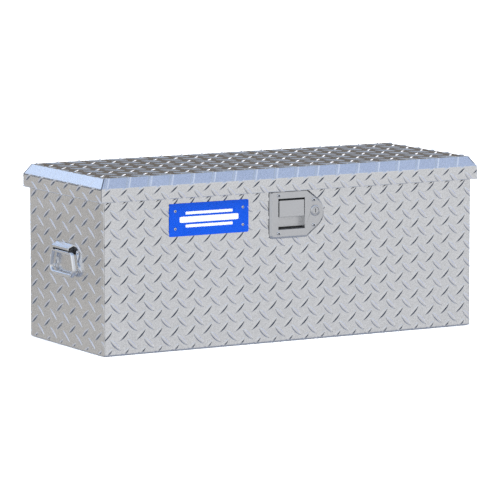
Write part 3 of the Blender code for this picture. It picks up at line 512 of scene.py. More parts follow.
def lug_faces():
    """Faces of one lug over its rows, then its two tips and its flat underside."""
    first, last = LUG_GRID**2, LUG_GRID**2 + 1
    faces = []
    for ring in range(LUG_GRID - 1):
        for column in range(LUG_GRID - 1):
            a = ring * LUG_GRID + column
            faces.append((a, a + 1, a + LUG_GRID + 1, a + LUG_GRID))
    for column in range(LUG_GRID - 1):
        faces.append((first, column + 1, column))
        a = (LUG_GRID - 1) * LUG_GRID + column
        faces.append((last, a, a + 1))
    near = [ring * LUG_GRID for ring in range(LUG_GRID)]
    far = [start + LUG_GRID - 1 for start in near]
    faces.append((first, *near, last, *reversed(far)))
    return faces


class Strip:
    """A bent sheet's outer face: a profile of 2D points, unrolled along its length."""

    def __init__(self, points, blend=0.002):
        self.points = np.array(points, float)
        legs = np.diff(self.points, axis=0)
        lengths = np.linalg.norm(legs, axis=1)
        self.stations = np.concatenate(([0], np.cumsum(lengths)))
        normals = np.stack((legs[:, 1], -legs[:, 0]), axis=1) / lengths[:, None]
        knots, values = [], []
        for index, normal in enumerate(normals):
            ease = min(blend, lengths[index] * 0.45)
            knots += [self.stations[index] + ease, self.stations[index + 1] - ease]
            values += [normal, normal]
        self.knots, self.normals = np.array(knots), np.array(values)

    def place(self, station, height):
        """2D points at the stations along the profile, raised by height."""
        base = [np.interp(station, self.stations, self.points[:, axis]) for axis in (0, 1)]
        lean = [np.interp(station, self.knots, self.normals[:, axis]) for axis in (0, 1)]
        size = np.hypot(*lean)
        return [base[axis] + height * lean[axis] / size for axis in (0, 1)]


def lug_field(places, spans, width, height, jitter):
    """Vertices (along, station, height) and faces of many lugs on an unrolled face.

    places are lug centres; spans are each lug's (along, station) reach, tip to tip."""
    rows = [point for row in lug_points() for point in row]
    shape = np.array(rows + [(-1, 0, 0), (1, 0, 0)], float)
    base = lug_faces()
    vertices, faces = [], []
    for number, (centre, span) in enumerate(zip(places, spans)):
        half = np.array(span) / 2
        side = np.array((-half[1], half[0])) / np.hypot(*half) * width / 2
        flat = np.array(centre) + shape[:, :1] * half + shape[:, 1:2] * side
        scale = height * (1 + jitter.uniform(-LUG_VARIES, LUG_VARIES))
        rise = shape[:, 2:] * scale
        rise[shape[:, 2] < 1e-6] = -LUG_SINK
        vertices.append(np.hstack((flat, rise)))
        start = number * len(shape)
        faces += [tuple(start + corner for corner in face) for face in base]
    return np.vstack(vertices), faces


def clip(mesh, cuts):
    """Keeps the side of each (point, direction) plane that direction points to."""
    for point, direction in cuts:
        geometry = mesh.verts[:] + mesh.edges[:] + mesh.faces[:]
        made = bmesh.ops.bisect_plane(
            mesh, geom=geometry, plane_co=point, plane_no=direction, clear_inner=True
        )
        rim = [item for item in made["geom_cut"] if isinstance(item, bmesh.types.BMEdge)]
        bmesh.ops.holes_fill(mesh, edges=rim, sides=0)


def lattice(pitch, phase, low, high, skip=(), families=2):
    """Lug centres of both families between low and high, and which way each leans."""
    places, leans = [], []
    for lean, shift in ((1, 0.0), (-1, 0.5))[:families]:
        starts = [phase[axis] + shift * pitch[axis] for axis in (0, 1)]
        counts = []
        for axis in (0, 1):
            first = math.floor((low[axis] - starts[axis]) / pitch[axis]) - 1
            last = math.ceil((high[axis] - starts[axis]) / pitch[axis]) + 1
            counts.append(range(first, last + 1))
        for row in counts[1]:
            for column in counts[0]:
                place = (starts[0] + column * pitch[0], starts[1] + row * pitch[1])
                reach = (pitch[0] * LUG_SPAN / 2, pitch[1] * LUG_SPAN / 2)
                if any(
                    place[axis] + reach[axis] < low[axis]
                    or place[axis] - reach[axis] > high[axis]
                    for axis in (0, 1)
                ):
                    continue
                if any(a <= place[0] <= c and b <= place[1] <= d for a, b, c, d in skip):
                    continue
                places.append(place)
                leans.append(lean)
    return places, leans


def finish_mesh(name, mesh, material, body, smooth=math.radians(50), second=None):
    """Turns a bmesh into a piece that rides on a body; second is for material index 1."""
    data = bpy.data.meshes.new(name)
    mesh.to_mesh(data)
    mesh.free()
    data.polygons.foreach_set("use_smooth", [True] * len(data.polygons))
    data.set_sharp_from_angle(angle=smooth)
    piece = bpy.data.objects.new(name, data)
    bpy.context.scene.collection.objects.link(piece)
    data.materials.append(material)
    if second is not None:
        data.materials.append(second)
    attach(piece, body)
    return piece


def tread(name, body, strip, axes, origin, pitch, phase, low, high, **options):
    """Raised lugs on an unrolled face, from low to high in (along, station).

    axes are the 3D directions of along and of the strip's own two coordinates."""
    height = options.get("height", LUG_HEIGHT)
    width = options.get("width", LUG_WIDTH)
    rising = options.get("rising", 1)
    families = options.get("families", 2)
    places, leans = lattice(pitch, phase, low, high, options.get("skip", ()), families)
    share = options.get("span", LUG_SPAN)
    spans = [(pitch[0] * share, pitch[1] * share * lean * rising) for lean in leans]
    jitter = random.Random(name)
    vertices, faces = lug_field(places, spans, width, height, jitter)
    mesh = bmesh.new()
    corners = [mesh.verts.new(vertex) for vertex in vertices]
    for face in faces:
        mesh.faces.new([corners[index] for index in face])
    cuts = [
        ((low[0], 0, 0), (1, 0, 0)),
        ((high[0], 0, 0), (-1, 0, 0)),
        ((0, low[1], 0), (0, 1, 0)),
        ((0, high[1], 0), (0, -1, 0)),
    ]
    clip(mesh, cuts + options.get("cuts", []))
    flat = np.array([vertex.co for vertex in mesh.verts])
    fade = options.get("fade")
    if fade is not None:
        flat[:, 2] *= fade(flat[:, 1])
    first, second = strip.place(flat[:, 1], flat[:, 2])
    along, one, two = (np.array(axis, float) for axis in axes)
    points = (
        np.array(origin, float)
        + flat[:, :1] * along
        + first[:, None] * one
        + second[:, None] * two
    )
    for vertex, point in zip(mesh.verts, points):
        vertex.co = point
    bmesh.ops.recalc_face_normals(mesh, faces=mesh.faces[:])
    return finish_mesh(name, mesh, FINISHES["tread_plate"], body)


def arc(centre, radius, start, end, steps=6):
    """2D points on an arc, in degrees."""
    return [
        (
            centre[0] + radius * math.cos(math.radians(start + (end - start) * i / steps)),
            centre[1] + radius * math.sin(math.radians(start + (end - start) * i / steps)),
        )
        for i in range(steps + 1)
    ]


def make_tub_tread():
    """Lugs on the bent sheet (front, floor, back) and on the two end panels."""
    radius = BEND_RADIUS
    profile = [(FRONT_Y, WALL_TOP)]
    profile += arc((FRONT_Y + radius, radius), radius, 180, 270)
    profile += arc((BACK_Y - radius, radius), radius, 270, 360)
    profile += [(BACK_Y, WALL_TOP)]
    # Stations run from the front's top edge, under the floor, up to the back's.
    strip = Strip(profile, blend=0.0002)
    total = strip.stations[-1]
    length = TUB_HIGH.x - TUB_LOW.x
    leaf_low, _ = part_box("hinge_body_leaf")
    skip = [(-length, total - WALL_TOP + leaf_low.z - LUG_WIDTH, 2 * length, 2 * total)]
    for node in ("badge_plate", "latch_pan"):
        low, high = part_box(node)
        skip.append(
            (
                low.x - TUB_LOW.x + LUG_WIDTH,
                WALL_TOP - high.z + LUG_WIDTH,
                high.x - TUB_LOW.x - LUG_WIDTH,
                WALL_TOP - low.z - LUG_WIDTH,
            )
        )
    tread(
        "tread_tub_wrap",
        "tub",
        strip,
        ((1, 0, 0), (0, 1, 0), (0, 0, 1)),
        (TUB_LOW.x, 0, 0),
        WALL_PITCH,
        (WALL_FIRST[0], WALL_TOP - WALL_FIRST[1]),
        (0.0, 0.0),
        (length, total),
        skip=skip,
        rising=-1,
    )
    depth = END_HIGH.y - END_LOW.y
    for side, sign in (("left", -1), ("right", 1)):
        low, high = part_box(f"{side}_handle_base")
        reach = (high.y - low.y) / 2 - LUG_WIDTH
        behind = (depth / 2 - reach, low.z + LUG_WIDTH, depth / 2 + reach, high.z - LUG_WIDTH)
        tread(
            f"tread_{side}_end",
            "tub",
            Strip([(0, 0), (0, WALL_TOP)]),
            ((0, sign, 0), (sign, 0, 0), (0, 0, 1)),
            (sign * END_X, -sign * depth / 2, 0),
            END_PITCH,
            END_FIRST,
            (EDGE_GAP, BEND_RADIUS),
            (depth - EDGE_GAP, WALL_TOP),
            skip=[behind],
            width=END_LUG_WIDTH,
            span=END_LUG_SPAN,
        )


def make_lid_tread():
    """Lugs on the lid's top, its skirt, and the pressed-down ones on its bevels."""
    length, depth = LID_HIGH.x - LID_LOW.x, LID_HIGH.y - LID_LOW.y
    inner_x, inner_y = LID_HIGH.x - LID_BEVEL_RUN, LID_HIGH.y - LID_BEVEL_RUN
    tread(
        "tread_lid_top",
        "lid",
        Strip([(2 * inner_y, 0), (0, 0)]),
        ((1, 0, 0), (0, 1, 0), (0, 0, 1)),
        (-inner_x, -inner_y, LID_HIGH.z),
        LID_PITCH,
        (LID_FIRST[0], 2 * inner_y - LID_FIRST[1]),
        (0.0, 0.0),
        (2 * inner_x, 2 * inner_y),
        rising=-1,
        height=LID_LUG_HEIGHT,
        width=LID_LUG_WIDTH,
    )
    skirt = BEVEL_FOOT - LID_LOW.z
    slope = math.hypot(LID_BEVEL_RUN, LID_BEVEL_RISE)
    profile = [(0, 0), (0, skirt), (-LID_BEVEL_RUN, skirt + LID_BEVEL_RISE)]

    def pressed(station):
        bend = (skirt + PRESSED_FROM, skirt + PRESSED_TO)
        return np.interp(station, bend, (1.0, FLATTENED))

    sides = {
        "front": ((1, 0, 0), (0, -1, 0), (LID_LOW.x, LID_LOW.y, LID_LOW.z), length, WALL_PITCH),
        "back": ((-1, 0, 0), (0, 1, 0), (LID_HIGH.x, LID_HIGH.y, LID_LOW.z), length, WALL_PITCH),
        "left": ((0, -1, 0), (-1, 0, 0), (LID_LOW.x, LID_HIGH.y, LID_LOW.z), depth, END_PITCH),
        "right": ((0, 1, 0), (1, 0, 0), (LID_HIGH.x, LID_LOW.y, LID_LOW.z), depth, END_PITCH),
    }
    mitre = LID_BEVEL_RUN / slope
    for side, (along, out, origin, span, pitch) in sides.items():
        across = side in ("front", "back")
        tread(
            f"tread_lid_{side}_skirt",
            "lid",
            Strip(profile),
            (along, out, (0, 0, 1)),
            origin,
            pitch,
            (SKIRT_FIRST[side], SKIRT_ROW),
            (0.0, 0.0),
            (span, skirt + SKIRT_PAST),
            cuts=[((0, skirt, 0), (1, -mitre, 0)), ((span, skirt, 0), (-1, -mitre, 0))],
            fade=pressed,
            width=LUG_WIDTH if across else END_LUG_WIDTH,
            span=LUG_SPAN if across else END_LUG_SPAN,
        )
        band = LID_PITCH[0] if across else LID_PITCH[1]
        tread(
            f"tread_lid_{side}_bevel",
            "lid",
            Strip([(0, 0), (-LID_BEVEL_RUN, LID_BEVEL_RISE)]),
            (along, out, (0, 0, 1)),
            (origin[0], origin[1], BEVEL_FOOT),
            (band, slope * BAND_REACH / LUG_SPAN),
            (BAND_START, slope / 2),
            (0.0, EDGE_GAP),
            (span, slope - EDGE_GAP),
            cuts=[
                ((MITRE_GAP, 0, 0), (1, -mitre, 0)),
                ((span - MITRE_GAP, 0, 0), (-1, -mitre, 0)),
            ],
            height=BAND_HEIGHT if across else BAND_HEIGHT * SIDE_BAND_SHARE,
            width=BAND_WIDTH,
            families=1,
        )


# ------------------------------------------------------------- refined CAD forms


def ease(mesh, edges, radius, segments):
    """Rounds the edges."""
    bmesh.ops.bevel(
        mesh, geom=edges, offset=radius, segments=segments, profile=0.5, affect="EDGES",
        clamp_overlap=True,
    )


def refined(node, edge=0.0003, segments=2, wide=None, adjust=None):
    """A copy of a CAD node with its facets merged, its edges eased, and smooth shading.

    wide is (test of an edge, radius) for edges that are eased more than the rest.
    adjust changes the copy's vertices before any edge is eased."""
    mesh = bmesh.new()
    mesh.from_mesh(NODES[node].data)
    bmesh.ops.remove_doubles(mesh, verts=mesh.verts[:], dist=1e-6)
    bmesh.ops.dissolve_limit(
        mesh, angle_limit=math.radians(0.5), verts=mesh.verts[:], edges=mesh.edges[:]
    )
    if adjust is not None:
        adjust(mesh)
    if wide is not None:
        test, radius = wide
        chosen = [item for item in mesh.edges if item.calc_face_angle(0) > SHARP and test(item)]
        ease(mesh, chosen, radius, 4)
    chosen = [item for item in mesh.edges if item.calc_face_angle(0) > SHARP]
    ease(mesh, chosen, edge, segments)
    piece = stand_for(node, mesh)
    weigh = piece.modifiers.new("weighted_normal", "WEIGHTED_NORMAL")
    weigh.keep_sharp = True
    return piece


def stand_for(node, mesh, material=None, second=None):
    """Makes the mesh the visible form of a CAD node."""
    slot = SLOTS[node]
    finish = material or FINISHES[slot]
    body = NODES[node]["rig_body"]
    piece = finish_mesh(f"{node}_form", mesh, finish, body, math.radians(40), second)
    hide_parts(node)
    return piece


def skin_rings(mesh, rings, closed):
    """Faces between neighbouring rings of vertices; a ring of one vertex is a tip."""
    pairs = list(zip(rings, rings[1:]))
    if closed:
        pairs.append((rings[-1], rings[0]))
    faces = []
    for one, two in pairs:
        count = max(len(one), len(two))
        for index in range(count):
            after = (index + 1) % count
            if len(one) == 1:
                corners = (one[0], two[after], two[index])
            elif len(two) == 1:
                corners = (one[index], one[after], two[0])
            else:
                corners = (one[index], one[after], two[after], two[index])
            faces.append(mesh.faces.new(corners))
    return faces


def turned(node, outward, profile, pit=0, closed=False, material=None):
    """A CAD node's turned form.  profile is (radius, height) from its outermost plane.

    The first pit runs of the profile are painted black as the shade inside a socket or hole."""
    low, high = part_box(node)
    axis = Vector(outward)
    top = (low + high) / 2 + axis * abs((high - low).dot(axis)) / 2
    side = axis.orthogonal().normalized()
    up = axis.cross(side)
    mesh = bmesh.new()
    rings = []
    for radius, height in profile:
        spot = top + axis * height
        if radius == 0:
            rings.append([mesh.verts.new(spot)])
            continue
        ring = []
        for index in range(TURNED_SIDES):
            angle = 2 * math.pi * index / TURNED_SIDES
            offset = side * math.cos(angle) + up * math.sin(angle)
            ring.append(mesh.verts.new(spot + offset * radius))
        rings.append(ring)
    faces = skin_rings(mesh, rings, closed)
    # Faces down inside the socket or hole get the black painted shade.
    for face in faces[: pit * TURNED_SIDES]:
        face.material_index = 1
    bmesh.ops.recalc_face_normals(mesh, faces=mesh.faces[:])
    return stand_for(node, mesh, material, SOCKET_SHADE if pit else None)


def rounded(corners, segments=8):
    """Points of a closed 2D outline whose corners are (first, second, corner radius)."""
    points = []
    for index, (first, second, radius) in enumerate(corners):
        here = Vector((first, second))
        if radius == 0:
            points.append(here)
            continue
        before = (Vector(corners[index - 1][:2]) - here).normalized()
        after = (Vector(corners[(index + 1) % len(corners)][:2]) - here).normalized()
        half = before.angle(after) / 2
        centre = here + (before + after).normalized() * (radius / math.sin(half))
        start = here + before * (radius / math.tan(half)) - centre
        end = here + after * (radius / math.tan(half)) - centre
        sweep = start.angle_signed(end)
        for step in range(segments + 1):
            turn = Matrix.Rotation(-sweep * step / segments, 2)
            points.append(centre + turn @ start)
    return points


def box_outline(x0, z0, x1, z1, radius, segments=8):
    """An upright outline with rounded corners."""
    corners = ((x0, z0), (x1, z0), (x1, z1), (x0, z1))
    return rounded([(*corner, radius) for corner in corners], segments)


def bar_mesh(points, normal, radius, sides=28):
    """A round bar in a closed loop along points in a plane with that normal."""
    mesh = bmesh.new()
    rings = []
    for index, point in enumerate(points):
        ahead = points[(index + 1) % len(points)] - points[index - 1]
        across = ahead.normalized().cross(normal)
        ring = []
        for step in range(sides):
            angle = 2 * math.pi * step / sides
            offset = normal * math.cos(angle) + across * math.sin(angle)
            ring.append(mesh.verts.new(point + offset * radius))
        rings.append(ring)
    skin_rings(mesh, rings, True)
    bmesh.ops.recalc_face_normals(mesh, faces=mesh.faces[:])
    return mesh


def upright(x, z, y):
    """Where a slab's (first, second, depth) lies when it faces along y."""
    return (x, y, z)


def slab(mesh, outline, low, high, place, edge=0.0):
    """Adds an outline extruded from low to high; place turns (first, second, depth) to 3D."""
    rings = [[mesh.verts.new(place(*point, depth)) for point in outline] for depth in (low, high)]
    faces = skin_rings(mesh, rings, False)
    faces += [mesh.faces.new(rings[0]), mesh.faces.new(rings[1])]
    bmesh.ops.recalc_face_normals(mesh, faces=faces)
    if edge:
        ease(mesh, [item for face in faces[-2:] for item in face.edges], edge, 2)


def make_fasteners():
    """Latch screws and rivets, with bright heads round a socket or hole painted black as shade.
    """
    low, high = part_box("latch_screw_upper_left")
    length = high.y - low.y
    screw = [
        (0, -0.0016), (0.00190, -0.0016), (0.00200, -0.0002), (0.00220, 0),
        (0.0028, -0.0001), (0.0034, -0.0004), (0.0037, -0.0010), (0.0038, -0.0020),
        (0.0020, -0.0020), (0.0020, -length), (0, -length),
    ]
    for row in ("upper", "lower"):
        for side in ("left", "right"):
            node = f"latch_screw_{row}_{side}"
            turned(node, (0, -1, 0), screw, pit=2, material=BRIGHT_STEEL)
    for prefix, sides, outward, rivet in (
        ("badge_rivet", ("left", "right"), (0, -1, 0), BADGE_RIVET),
        ("left_handle_rivet", ("front", "rear"), (-1, 0, 0), HANDLE_RIVET),
        ("right_handle_rivet", ("front", "rear"), (1, 0, 0), HANDLE_RIVET),
    ):
        head, rise, shank, hole = rivet
        for row in ("upper", "lower"):
            for side in sides:
                node = f"{prefix}_{row}_{side}"
                low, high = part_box(node)
                length = abs((high - low).dot(Vector(outward)))
                profile = [(0, 0)]
                if hole:
                    profile = [(0, -HOLE_DEPTH), (hole, -HOLE_DEPTH), (hole * 1.05, -HOLE_LIP)]
                profile += [(hole + (head - hole) * out, -rise * fall) for out, fall in DOME]
                profile += [(head, -rise), (shank, -rise), (shank, -length), (0, -length)]
                turned(node, outward, profile, pit=2 if hole else 0, material=BRIGHT_STEEL)


def make_latch_forms():
    """Pan, paddle, lock, and black rubber pads put in the recess round the paddle as painted
    shade.
    """
    refined("latch_pan", edge=0.0007, segments=3)
    gasket = refined("latch_gasket", edge=0.0002)
    low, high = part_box("latch_gasket")
    middle = (low + high) / 2
    # Spread so black rubber shows round the pan: the gasket's edge and painted shade along it.
    for vertex in gasket.data.vertices:
        away = vertex.co - middle
        vertex.co.x += away.x * GASKET_SPREAD
        vertex.co.z += away.z * GASKET_SPREAD
    paddle_low, paddle_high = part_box("paddle")

    def lower(item):
        return max(vertex.co.z for vertex in item.verts) < paddle_low.z + NEAR

    refined("paddle", edge=0.0005, segments=3, wide=(lower, 0.0009))
    low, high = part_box("lock_sleeve")
    length = high.y - low.y
    sleeve = [
        (0.0078, -0.0004), (0.0081, 0), (0.0088, 0), (0.0096, -0.0002), (0.0106, -0.0008),
        (0.0113, -0.0014), (0.0117, -0.0019), (0.0117, -0.0022), (0.0095, -0.0022),
        (0.0095, -length), (0.0078, -length),
    ]
    turned("lock_sleeve", (0, -1, 0), sleeve, closed=True, material=FINISHES["stainless"])
    plug = refined("lock_plug", edge=0.0005, segments=3)
    plug.data.materials.clear()
    plug.data.materials.append(FINISHES["stainless"])
    # Black pads line the gaps round the paddle: painted shade where the recess lies in shadow.
    floor = RECESS_FLOOR - RECESS_GAP
    left, right = RECESS_X[0] + RECESS_GAP, RECESS_X[1] - RECESS_GAP
    bottom, top = RECESS_Z[0] + RECESS_GAP, RECESS_Z[1] - RECESS_GAP
    mesh = bmesh.new()
    # (Left, bottom, right, top) of each black pad of painted shade, and how far it stands off the
    # floor.
    for corners, reach in (
        ((left, paddle_high.z - 0.0008, right, top), 0.0054),
        ((left, PADDLE_GAP_Z, TAIL_SLOT_LEFT, paddle_high.z - 0.0010), 0.0008),
        ((left, bottom, right, bottom + 0.0042), 0.0009),
        ((left, bottom, right, bottom + 0.0006), 0.0135),
    ):
        outline = box_outline(*corners, PAD_ROUND, 2)
        slab(mesh, outline, floor - reach, floor, upright, PAD_ROUND)
    finish_mesh("recess_shade_pads", mesh, FINISHES["rubber"], "tub")


def make_badge_forms():
    """The enamelled plate with eased edges, and plain white bars printed on it."""
    refined("badge_plate")
    low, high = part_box("badge_plate")
    middle = (low + high) / 2
    mesh = bmesh.new()
    for rise, half_x, half_z in BADGE_BARS:
        x0, x1 = middle.x - half_x, middle.x + half_x
        z0, z1 = middle.z + rise - half_z, middle.z + rise + half_z
        outline = box_outline(x0, z0, x1, z1, half_z * BADGE_BAR_ROUND)
        slab(mesh, outline, low.y - INK, low.y + INK, upright, INK / 2)
    finish_mesh("badge_bars", mesh, WHITE_ENAMEL, "tub")


def make_handle_forms():
    """Handle bases with eased edges, round bails, and black rubber blocks in each hood's ends as
    painted shade.
    """
    places = {joint["name"]: joint["pos_m"] for joint in frame["joints"] if "pos_m" in joint}
    for side, sign in (("left", -1), ("right", 1)):
        x, _, z = places[f"{side}_bail_swing"]
        low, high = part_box(f"{side}_handle_base")
        outer = high.x if sign > 0 else -low.x
        lip_depth, lip_rise = HOOD_LIP

        def lift(mesh):
            for vertex in mesh.verts:
                if sign * vertex.co.x > outer - lip_depth and vertex.co.z > z + lip_rise:
                    vertex.co.z += HOOD_LIFT

        def roll(item):
            return all(
                sign * vertex.co.x > outer - HOOD_FACE and vertex.co.z > z + lip_rise
                for vertex in item.verts
            )

        refined(
            f"{side}_handle_base", edge=0.0006, segments=3, wide=(roll, HOOD_ROLL), adjust=lift
        )
        (top_half, foot_half), (top_corner, foot_corner) = BAIL_HALF, BAIL_CORNERS
        outline = rounded(
            [
                (-top_half, z, top_corner),
                (top_half, z, top_corner),
                (foot_half, z - BAIL_DROP, foot_corner),
                (-foot_half, z - BAIL_DROP, foot_corner),
            ],
            14,
        )
        points = [Vector((x, y, height)) for y, height in outline]
        stand_for(f"{side}_bail", bar_mesh(points, Vector((1, 0, 0)), BAIL_RADIUS))
        axis = abs(x) - END_X
        clear = BAIL_RADIUS + HOOD_SHADE_GAP
        # Each black block fills the hood's end as painted shade and is scooped out round the
        # bail.
        section = [(0.0027, -0.0030), (0.0027, 0.0146), (axis + 0.0030, 0.0094)]
        section += [(axis + 0.0045, 0.0022)]
        for step in range(13):
            angle = math.radians(30 + 190 * step / 12)
            section.append((axis + clear * math.cos(angle), clear * math.sin(angle)))
        mesh = bmesh.new()

        def place(out, height, y):
            return (sign * (END_X + out), y, z + height)

        for end in (-1, 1):
            low, high = sorted((end * HOOD_HALF, end * (HOOD_HALF - HOOD_SHADE_LENGTH)))
            slab(mesh, section, low, high, place)
        finish_mesh(f"{side}_hood_shade_blocks", mesh, FINISHES["rubber"], "tub")


def make_other_forms():
    """The remaining sheet, turned and bent parts, with eased edges."""
    low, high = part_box("weather_seal")
    radius = (high.z - low.z) / 2
    x, y = high.x - radius, high.y - radius
    loop = box_outline(-x, -y, x, y, SEAL_CORNER, 10)
    points = [Vector((*point, low.z + radius)) for point in loop]
    stand_for("weather_seal", bar_mesh(points, Vector((0, 0, 1)), radius, sides=20))
    for node in (
        "tub_wrap", "left_end_panel", "right_end_panel", "rim_front", "rim_back", "rim_left",
        "rim_right", "hinge_body_leaf", "hinge_lid_leaf", "hinge_pin", "lid_liner",
        "striker_plate", "striker_loop", "latch_case", "pawl", "pawl_pin", "lock_nut",
        "lock_cam", "left_strut_foot", "right_strut_foot", "left_strut_hanger",
        "right_strut_hanger", "left_strut_tube", "right_strut_tube", "left_strut_rod",
        "right_strut_rod",
    ):
        refined(node)


def make_lid_form():
    """The lid skin with rounded bends."""

    def bend(item):
        heights = [vertex.co.z for vertex in item.verts]
        level = max(heights) - min(heights) < NEAR / 10
        outer = max(abs(vertex.co.x) for vertex in item.verts) > LID_HIGH.x - NEAR
        outer = outer or max(abs(vertex.co.y) for vertex in item.verts) > LID_HIGH.y - NEAR
        foot = outer and abs(heights[0] - BEVEL_FOOT) < NEAR
        return level and (foot or abs(heights[0] - LID_HIGH.z) < NEAR)

    refined("lid_skin", wide=(bend, LID_BEND))


def make_lid_seams():
    """The filled mitres at the lid's corners, and a thin line on down each skirt corner."""
    mesh = bmesh.new()
    for side_x in (-1, 1):
        for side_y in (-1, 1):
            foot = Vector((side_x * LID_HIGH.x, side_y * LID_HIGH.y, BEVEL_FOOT))
            inward = (-side_x * LID_BEVEL_RUN, -side_y * LID_BEVEL_RUN, LID_BEVEL_RISE)
            head = foot + Vector(inward)
            run = (head - foot).normalized()
            across = run.cross(Vector((side_x, side_y, 1))).normalized()
            out = across.cross(run).normalized()
            low = Vector((foot.x, foot.y, LID_LOW.z + EDGE_GAP))
            level = Vector((side_x, side_y, 0)).normalized()
            turn = Vector((side_x, -side_y, 0)).normalized()
            for start, end, aside, outward, half in (
                (foot - run * SEAM_PAST, head, across, out, SEAM_HALF),
                (low, foot, turn, level, CORNER_HALF),
            ):
                ring = []
                for place in (start, end):
                    for side, rise in SEAM_SECTION:
                        offset = aside * side * half + outward * rise * SEAM_RISE
                        ring.append(mesh.verts.new(place + offset))
                for index in range(4):
                    after = (index + 1) % 4
                    mesh.faces.new((ring[index], ring[after], ring[4 + after], ring[4 + index]))
                mesh.faces.new(ring[3::-1])
                mesh.faces.new(ring[4:])
    bmesh.ops.recalc_face_normals(mesh, faces=mesh.faces[:])
    finish_mesh("lid_mitre_seams", mesh, FILLER_AND_BEND_SHADE, "lid")


def make_lid_trim():
    """A dark line of painted shade along the bend under each end's bevel, and the hem round the
    skirt's foot.
    """
    mesh = bmesh.new()
    near, far, proud = BEND_LINE
    reach = LID_HIGH.y - BEND_LINE_GAP
    for sign in (-1, 1):

        def place(y, z, out):
            return (sign * (LID_HIGH.x + out), y, z)

        outline = [(-reach, BEVEL_FOOT - far), (reach, BEVEL_FOOT - far)]
        outline += [(reach, BEVEL_FOOT - near), (-reach, BEVEL_FOOT - near)]
        # The dark filler here is painted shade along the bend, not a seam.
        slab(mesh, outline, -BEND_LINE_DEPTH, proud, place)
    finish_mesh("lid_bend_lines", mesh, FILLER_AND_BEND_SHADE, "lid")
    x, y = LID_HIGH.x - HEM_RADIUS * HEM_SHOWN, LID_HIGH.y - HEM_RADIUS * HEM_SHOWN
    loop = box_outline(-x, -y, x, y, HEM_CORNER, 4)
    points = [Vector((*point, LID_LOW.z + HEM_RADIUS)) for point in loop]
    hem = bar_mesh(points, Vector((0, 0, 1)), HEM_RADIUS, sides=16)
    finish_mesh("lid_hem", hem, FINISHES["mill_sheet"], "lid")


# ---------------------------------------------------------------------- studio


def studio_world():
    """A soft studio: pale horizon, blue-grey above, grey below, and soft panels on it."""
    world = bpy.data.worlds.new("studio")
    bpy.context.scene.world = world
    tree = Tree(world)
    direction = tree.add("ShaderNodeTexCoord").outputs["Generated"]
    parts = tree.add("ShaderNodeSeparateXYZ", Vector=direction)
    level = tree.math("MULTIPLY_ADD", parts.outputs[2], 0.5, 0.5)

    def at(degrees):
        return (math.sin(math.radians(degrees)) + 1) / 2

    colour = tree.ramp(level, [(at(degrees), tint) for degrees, tint in SKY])

    def panel(azimuth, elevation, wide, tall):
        """How much of a soft-edged panel covers a direction."""
        a, e = math.radians(azimuth), math.radians(elevation)
        centre = Vector((math.cos(a) * math.cos(e), math.sin(a) * math.cos(e), math.sin(e)))
        right = Vector((-math.sin(a), math.cos(a), 0))
        up = centre.cross(right)
        offset = tree.add(
            "ShaderNodeVectorMath", {"operation": "SUBTRACT"}, i0=direction, i1=centre
        ).outputs[0]
        shares = []
        for axis, size in ((right, wide), (up, tall)):
            share = tree.add(
                "ShaderNodeVectorMath", {"operation": "DOT_PRODUCT"}, i0=offset, i1=axis
            ).outputs["Value"]
            share = tree.math("DIVIDE", share, math.sin(math.radians(size)))
            shares.append(tree.math("POWER", tree.math("ABSOLUTE", share), 2.0))
        away = tree.math("ADD", *shares)
        facing = tree.add(
            "ShaderNodeVectorMath", {"operation": "DOT_PRODUCT"}, i0=direction, i1=centre
        ).outputs["Value"]
        cover = tree.remap(away, PANEL_FULL, PANEL_NONE, 1, 0)
        return tree.math("MULTIPLY", cover, tree.remap(facing, 0, 0.2, 0, 1))

    for azimuth, elevation, wide, tall, tint in PANELS:
        colour = tree.mix(panel(azimuth, elevation, wide, tall), colour, (*tint, 1))
    back = tree.add("ShaderNodeBackground", Color=colour, Strength=1.0)
    output = tree.add("ShaderNodeOutputWorld")
    tree.tree.links.new(back.outputs[0], output.inputs[0])


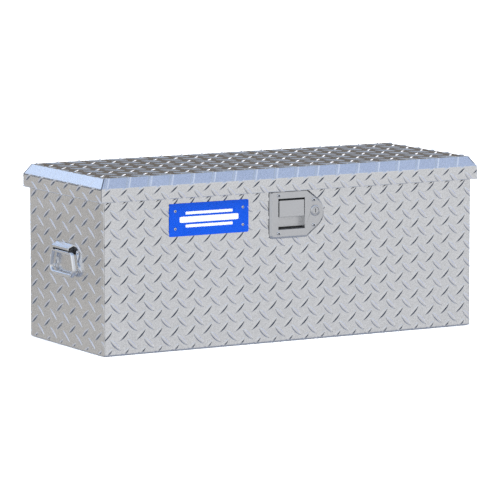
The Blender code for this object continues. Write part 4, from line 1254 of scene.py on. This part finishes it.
def make_card():
    """The studio card that the left end reflects; its brightness varies by height."""
    right = Vector((0, 0, 1)).cross(CARD_FACING).normalized() * CARD_SIZE[0] / 2
    up = Vector((0, 0, CARD_SIZE[1] / 2))
    sides = ((-1, -1), (1, -1), (1, 1), (-1, 1))
    corners = [CARD_CENTRE + right * side + up * rise for side, rise in sides]
    mesh = bpy.data.meshes.new("left_card")
    mesh.from_pydata(corners, [], [(0, 1, 2, 3)])
    material = bpy.data.materials.new("left_card")
    tree = Tree(material)
    where = tree.add("ShaderNodeTexCoord").outputs["Object"]
    height = tree.add("ShaderNodeSeparateXYZ", Vector=where).outputs[2]
    low, high = CARD_CENTRE.z - CARD_SIZE[1] / 2, CARD_CENTRE.z + CARD_SIZE[1] / 2
    share = tree.add("ShaderNodeMapRange", i0=height, i1=low, i2=high).outputs[0]
    colour = tree.ramp(share, [((z - low) / (high - low), tint) for z, tint in CARD_STOPS])
    glow = tree.add("ShaderNodeEmission", Color=colour, Strength=1.0)
    output = tree.add("ShaderNodeOutputMaterial")
    tree.tree.links.new(glow.outputs[0], output.inputs[0])
    mesh.materials.append(material)
    card = bpy.data.objects.new("left_card", mesh)
    bpy.context.scene.collection.objects.link(card)
    for kind in ("camera", "diffuse", "transmission", "volume_scatter", "shadow"):
        setattr(card, f"visible_{kind}", False)


def make_studio():
    studio_world()
    make_card()
    bpy.context.scene.view_settings.view_transform = "Standard"
    floor_mesh = bpy.data.meshes.new("floor")
    reach = FLOOR_HALF
    corners = [(-reach, -reach, 0), (reach, -reach, 0), (reach, reach, 0), (-reach, reach, 0)]
    floor_mesh.from_pydata(corners, [], [(0, 1, 2, 3)])
    floor = bpy.data.objects.new("floor", floor_mesh)
    floor.location.z = -LUG_HEIGHT - FLOOR_GAP
    floor.visible_glossy = False
    floor_mesh.materials.append(floor_paper())
    bpy.context.scene.collection.objects.link(floor)

    sun = bpy.data.lights.new("overhead", "SUN")
    sun.energy = SUN_ENERGY
    sun.angle = SUN_ANGLE
    lamp = bpy.data.objects.new("overhead", sun)
    lamp.visible_glossy = False
    lamp.rotation_euler = SUN_TURN
    bpy.context.scene.collection.objects.link(lamp)


def make_camera():
    back = Vector(
        (
            math.sin(AZIMUTH) * math.cos(ELEVATION),
            -math.cos(AZIMUTH) * math.cos(ELEVATION),
            math.sin(ELEVATION),
        )
    )
    right = Vector((math.cos(AZIMUTH), math.sin(AZIMUTH), 0))
    data = bpy.data.cameras.new("camera")
    data.lens = LENS_MM
    data.clip_end = 200.0
    camera = bpy.data.objects.new("camera", data)
    camera.rotation_mode = "QUATERNION"
    camera.rotation_quaternion = (-back).to_track_quat("-Z", "Y")
    camera.location = right * AIM_SIDE + Vector((0, 0, AIM_HEIGHT)) + back * CAMERA_DISTANCE
    bpy.context.scene.collection.objects.link(camera)
    bpy.context.scene.camera = camera


dress_cad_nodes()
make_tub_tread()
make_lid_tread()
make_lid_form()
make_lid_seams()
make_lid_trim()
make_fasteners()
make_latch_forms()
make_badge_forms()
make_handle_forms()
make_other_forms()
make_studio()
make_camera()
